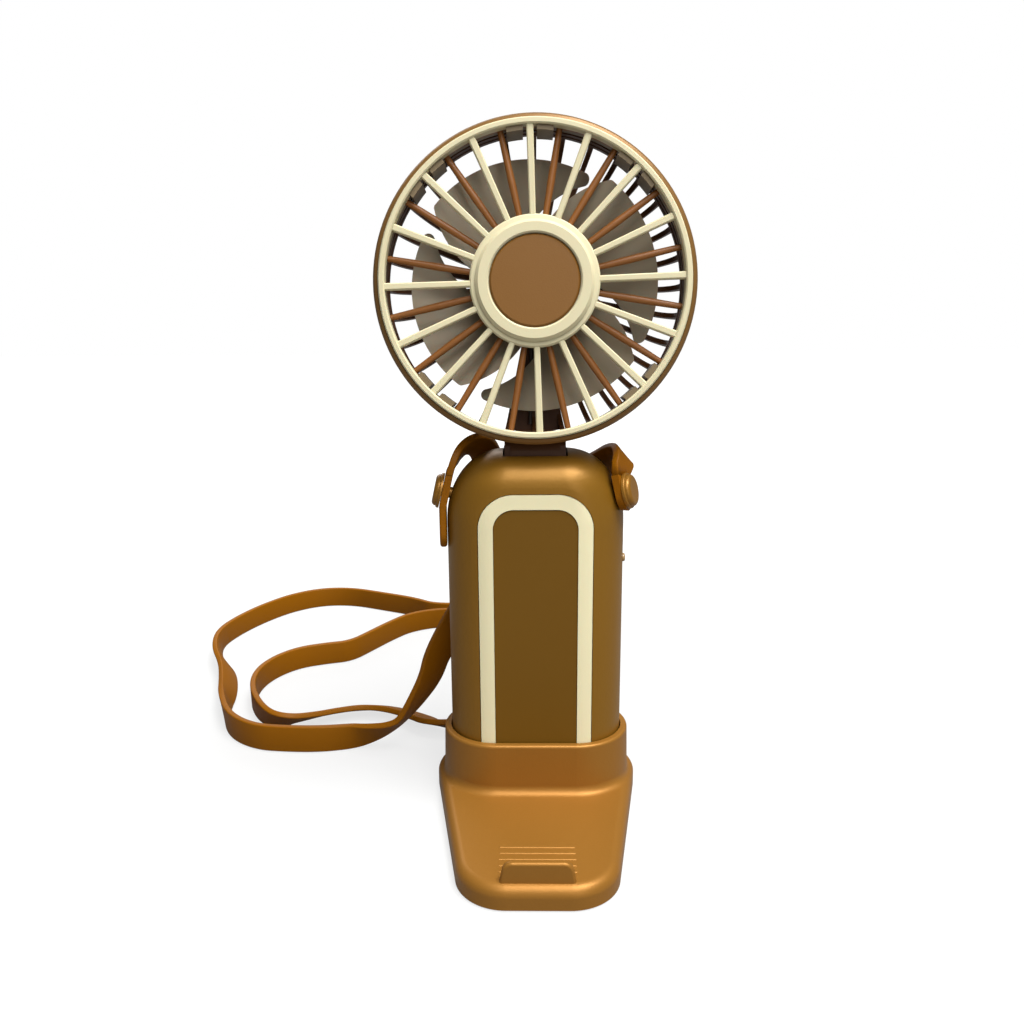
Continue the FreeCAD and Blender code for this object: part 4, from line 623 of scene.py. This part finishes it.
@dataclass
class Studio:
    """The floor, the lamps, the white surround and the camera."""

    camera_place: tuple[float, float, float] = (-0.002, -0.239, 0.1409)
    camera_turn_deg: float = 1.1
    camera_pitch_deg: float = 12.9
    camera_roll_deg: float = 0.5
    camera_lens: float = 30.3
    sensor: float = 36.0
    camera_near: float = 0.01
    camera_far: float = 20.0
    floor_half: float = 3.0
    floor_colour: tuple[int, int, int] = (116, 116, 115)
    floor_roughness: float = 0.9
    floor_specular: float = 0.2
    fade_start: float = 0.08
    fade_end: float = 0.4
    fade_least: float = 0.72
    lamp_target: tuple[float, float, float] = (0.0, 0.0, 0.1)
    world_strength: float = 0.18
    mirrored_white: float = 0.15

    def camera(self) -> bpy.types.Object:
        """Puts up the camera at the photograph's place and angle.

        Returns:
            The camera.
        """
        data = bpy.data.cameras.new("view_camera")
        data.lens = self.camera_lens
        data.sensor_width = self.sensor
        data.clip_start = self.camera_near
        data.clip_end = self.camera_far
        camera = bpy.data.objects.new("view_camera", data)
        bpy.context.scene.collection.objects.link(camera)
        turn = Matrix.Rotation(math.radians(self.camera_turn_deg), 4, "Z")
        tilt = Matrix.Rotation(math.radians(90 - self.camera_pitch_deg), 4, "X")
        roll = Matrix.Rotation(math.radians(-self.camera_roll_deg), 4, "Z")
        camera.matrix_world = Matrix.Translation(Vector(self.camera_place)) @ turn @ tilt @ roll
        bpy.context.scene.camera = camera
        return camera

    def _white_to_camera(self, tree: bpy.types.NodeTree) -> bpy.types.NodeSocket:
        """Adds a mask that is one for camera and clear rays and less for glossy rays.

        Args:
            tree: The node tree to add it to.

        Returns:
            The mask's output socket.
        """
        sheet = NodeSheet(tree)
        path = sheet.add("ShaderNodeLightPath")
        mirrored = sheet.maths("MULTIPLY", path.outputs["Is Glossy Ray"], self.mirrored_white)
        seen = sheet.maths("MAXIMUM", path.outputs["Is Camera Ray"], mirrored)
        return sheet.maths("MAXIMUM", seen, path.outputs["Is Transmission Ray"])

    def world(self) -> None:
        """Makes a surround that is white to look at and a soft grey as a light."""
        world = bpy.data.worlds.new("surround")
        bpy.context.scene.world = world
        world.use_nodes = True
        sheet = NodeSheet(world.node_tree)
        background = world.node_tree.nodes["Background"]
        seen = self._white_to_camera(world.node_tree)
        strength = sheet.maths("MAXIMUM", seen, self.world_strength)
        background.inputs["Color"].default_value = (1, 1, 1, 1)
        sheet.join(strength, background.inputs["Strength"])

    def floor(self) -> bpy.types.Object:
        """Lays the pale floor.

        Returns:
            The floor.
        """
        half = self.floor_half
        mesh = bpy.data.meshes.new("studio_floor")
        corners = [(-half, -half, 0), (half, -half, 0), (half, half, 0), (-half, half, 0)]
        mesh.from_pydata(corners, [], [(0, 1, 2, 3)])
        floor = bpy.data.objects.new("studio_floor", mesh)
        bpy.context.scene.collection.objects.link(floor)
        made = bpy.data.materials.new("pale_floor")
        made.use_nodes = True
        shader = made.node_tree.nodes["Principled BSDF"]
        shader.inputs["Base Color"].default_value = linear(self.floor_colour)
        shader.inputs["Roughness"].default_value = self.floor_roughness
        shader.inputs["Specular IOR Level"].default_value = self.floor_specular
        sheet = NodeSheet(made.node_tree)
        place = sheet.add("ShaderNodeTexCoord")
        away = sheet.add("ShaderNodeVectorMath", operation="LENGTH")
        sheet.join(place.outputs["Object"], away.inputs[0])
        fade = sheet.add("ShaderNodeMapRange", interpolation_type="SMOOTHSTEP")
        sheet.join(away.outputs["Value"], fade.inputs["Value"])
        limits = {"From Min": self.fade_start, "From Max": self.fade_end,
                  "To Min": self.fade_least, "To Max": 1.0}
        for name, value in limits.items():
            fade.inputs[name].default_value = value
        lift = sheet.maths("MULTIPLY", self._white_to_camera(made.node_tree), fade.outputs["Result"])
        shader.inputs["Emission Color"].default_value = (1, 1, 1, 1)
        sheet.join(lift, shader.inputs["Emission Strength"])
        mesh.materials.append(made)
        return floor

    def hang(self, lamp: Lamp) -> bpy.types.Object:
        """Hangs one lamp, facing the middle of the object.

        Args:
            lamp: The lamp to hang.

        Returns:
            The lamp's object.
        """
        data = bpy.data.lights.new(lamp.name, "AREA")
        data.shape = "SQUARE"
        data.size = lamp.size
        data.energy = lamp.power
        hung = bpy.data.objects.new(lamp.name, data)
        bpy.context.scene.collection.objects.link(hung)
        away = Vector(self.lamp_target) - Vector(lamp.place)
        turn = away.to_track_quat("-Z", "Y").to_matrix().to_4x4()
        hung.matrix_world = Matrix.Translation(Vector(lamp.place)) @ turn
        return hung

    def build(self) -> None:
        """Sets up the view settings, surround, floor and lamps."""
        bpy.context.scene.view_settings.view_transform = "Standard"
        self.world()
        self.floor()
        for lamp in LAMPS:
            self.hang(lamp)
        LOG.info("studio ready with %d lamps", len(LAMPS))


def main() -> None:
    """Loads the frame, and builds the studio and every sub-assembly."""
    logging.basicConfig(level=logging.INFO, format="%(name)s: %(message)s")
    for unused in list(bpy.data.objects):
        bpy.data.objects.remove(unused)
    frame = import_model()
    studio = Studio()
    studio.camera()
    wardrobe = Wardrobe()
    NeckStrap(wardrobe).build()
    nodes = frame["nodes"]
    for part in (Stand(nodes, wardrobe), Handle(nodes, wardrobe), FanHead(nodes, wardrobe)):
        part.build()
        LOG.info("%s done", type(part).__name__)
    studio.build()


if __name__ == "__main__":
    main()
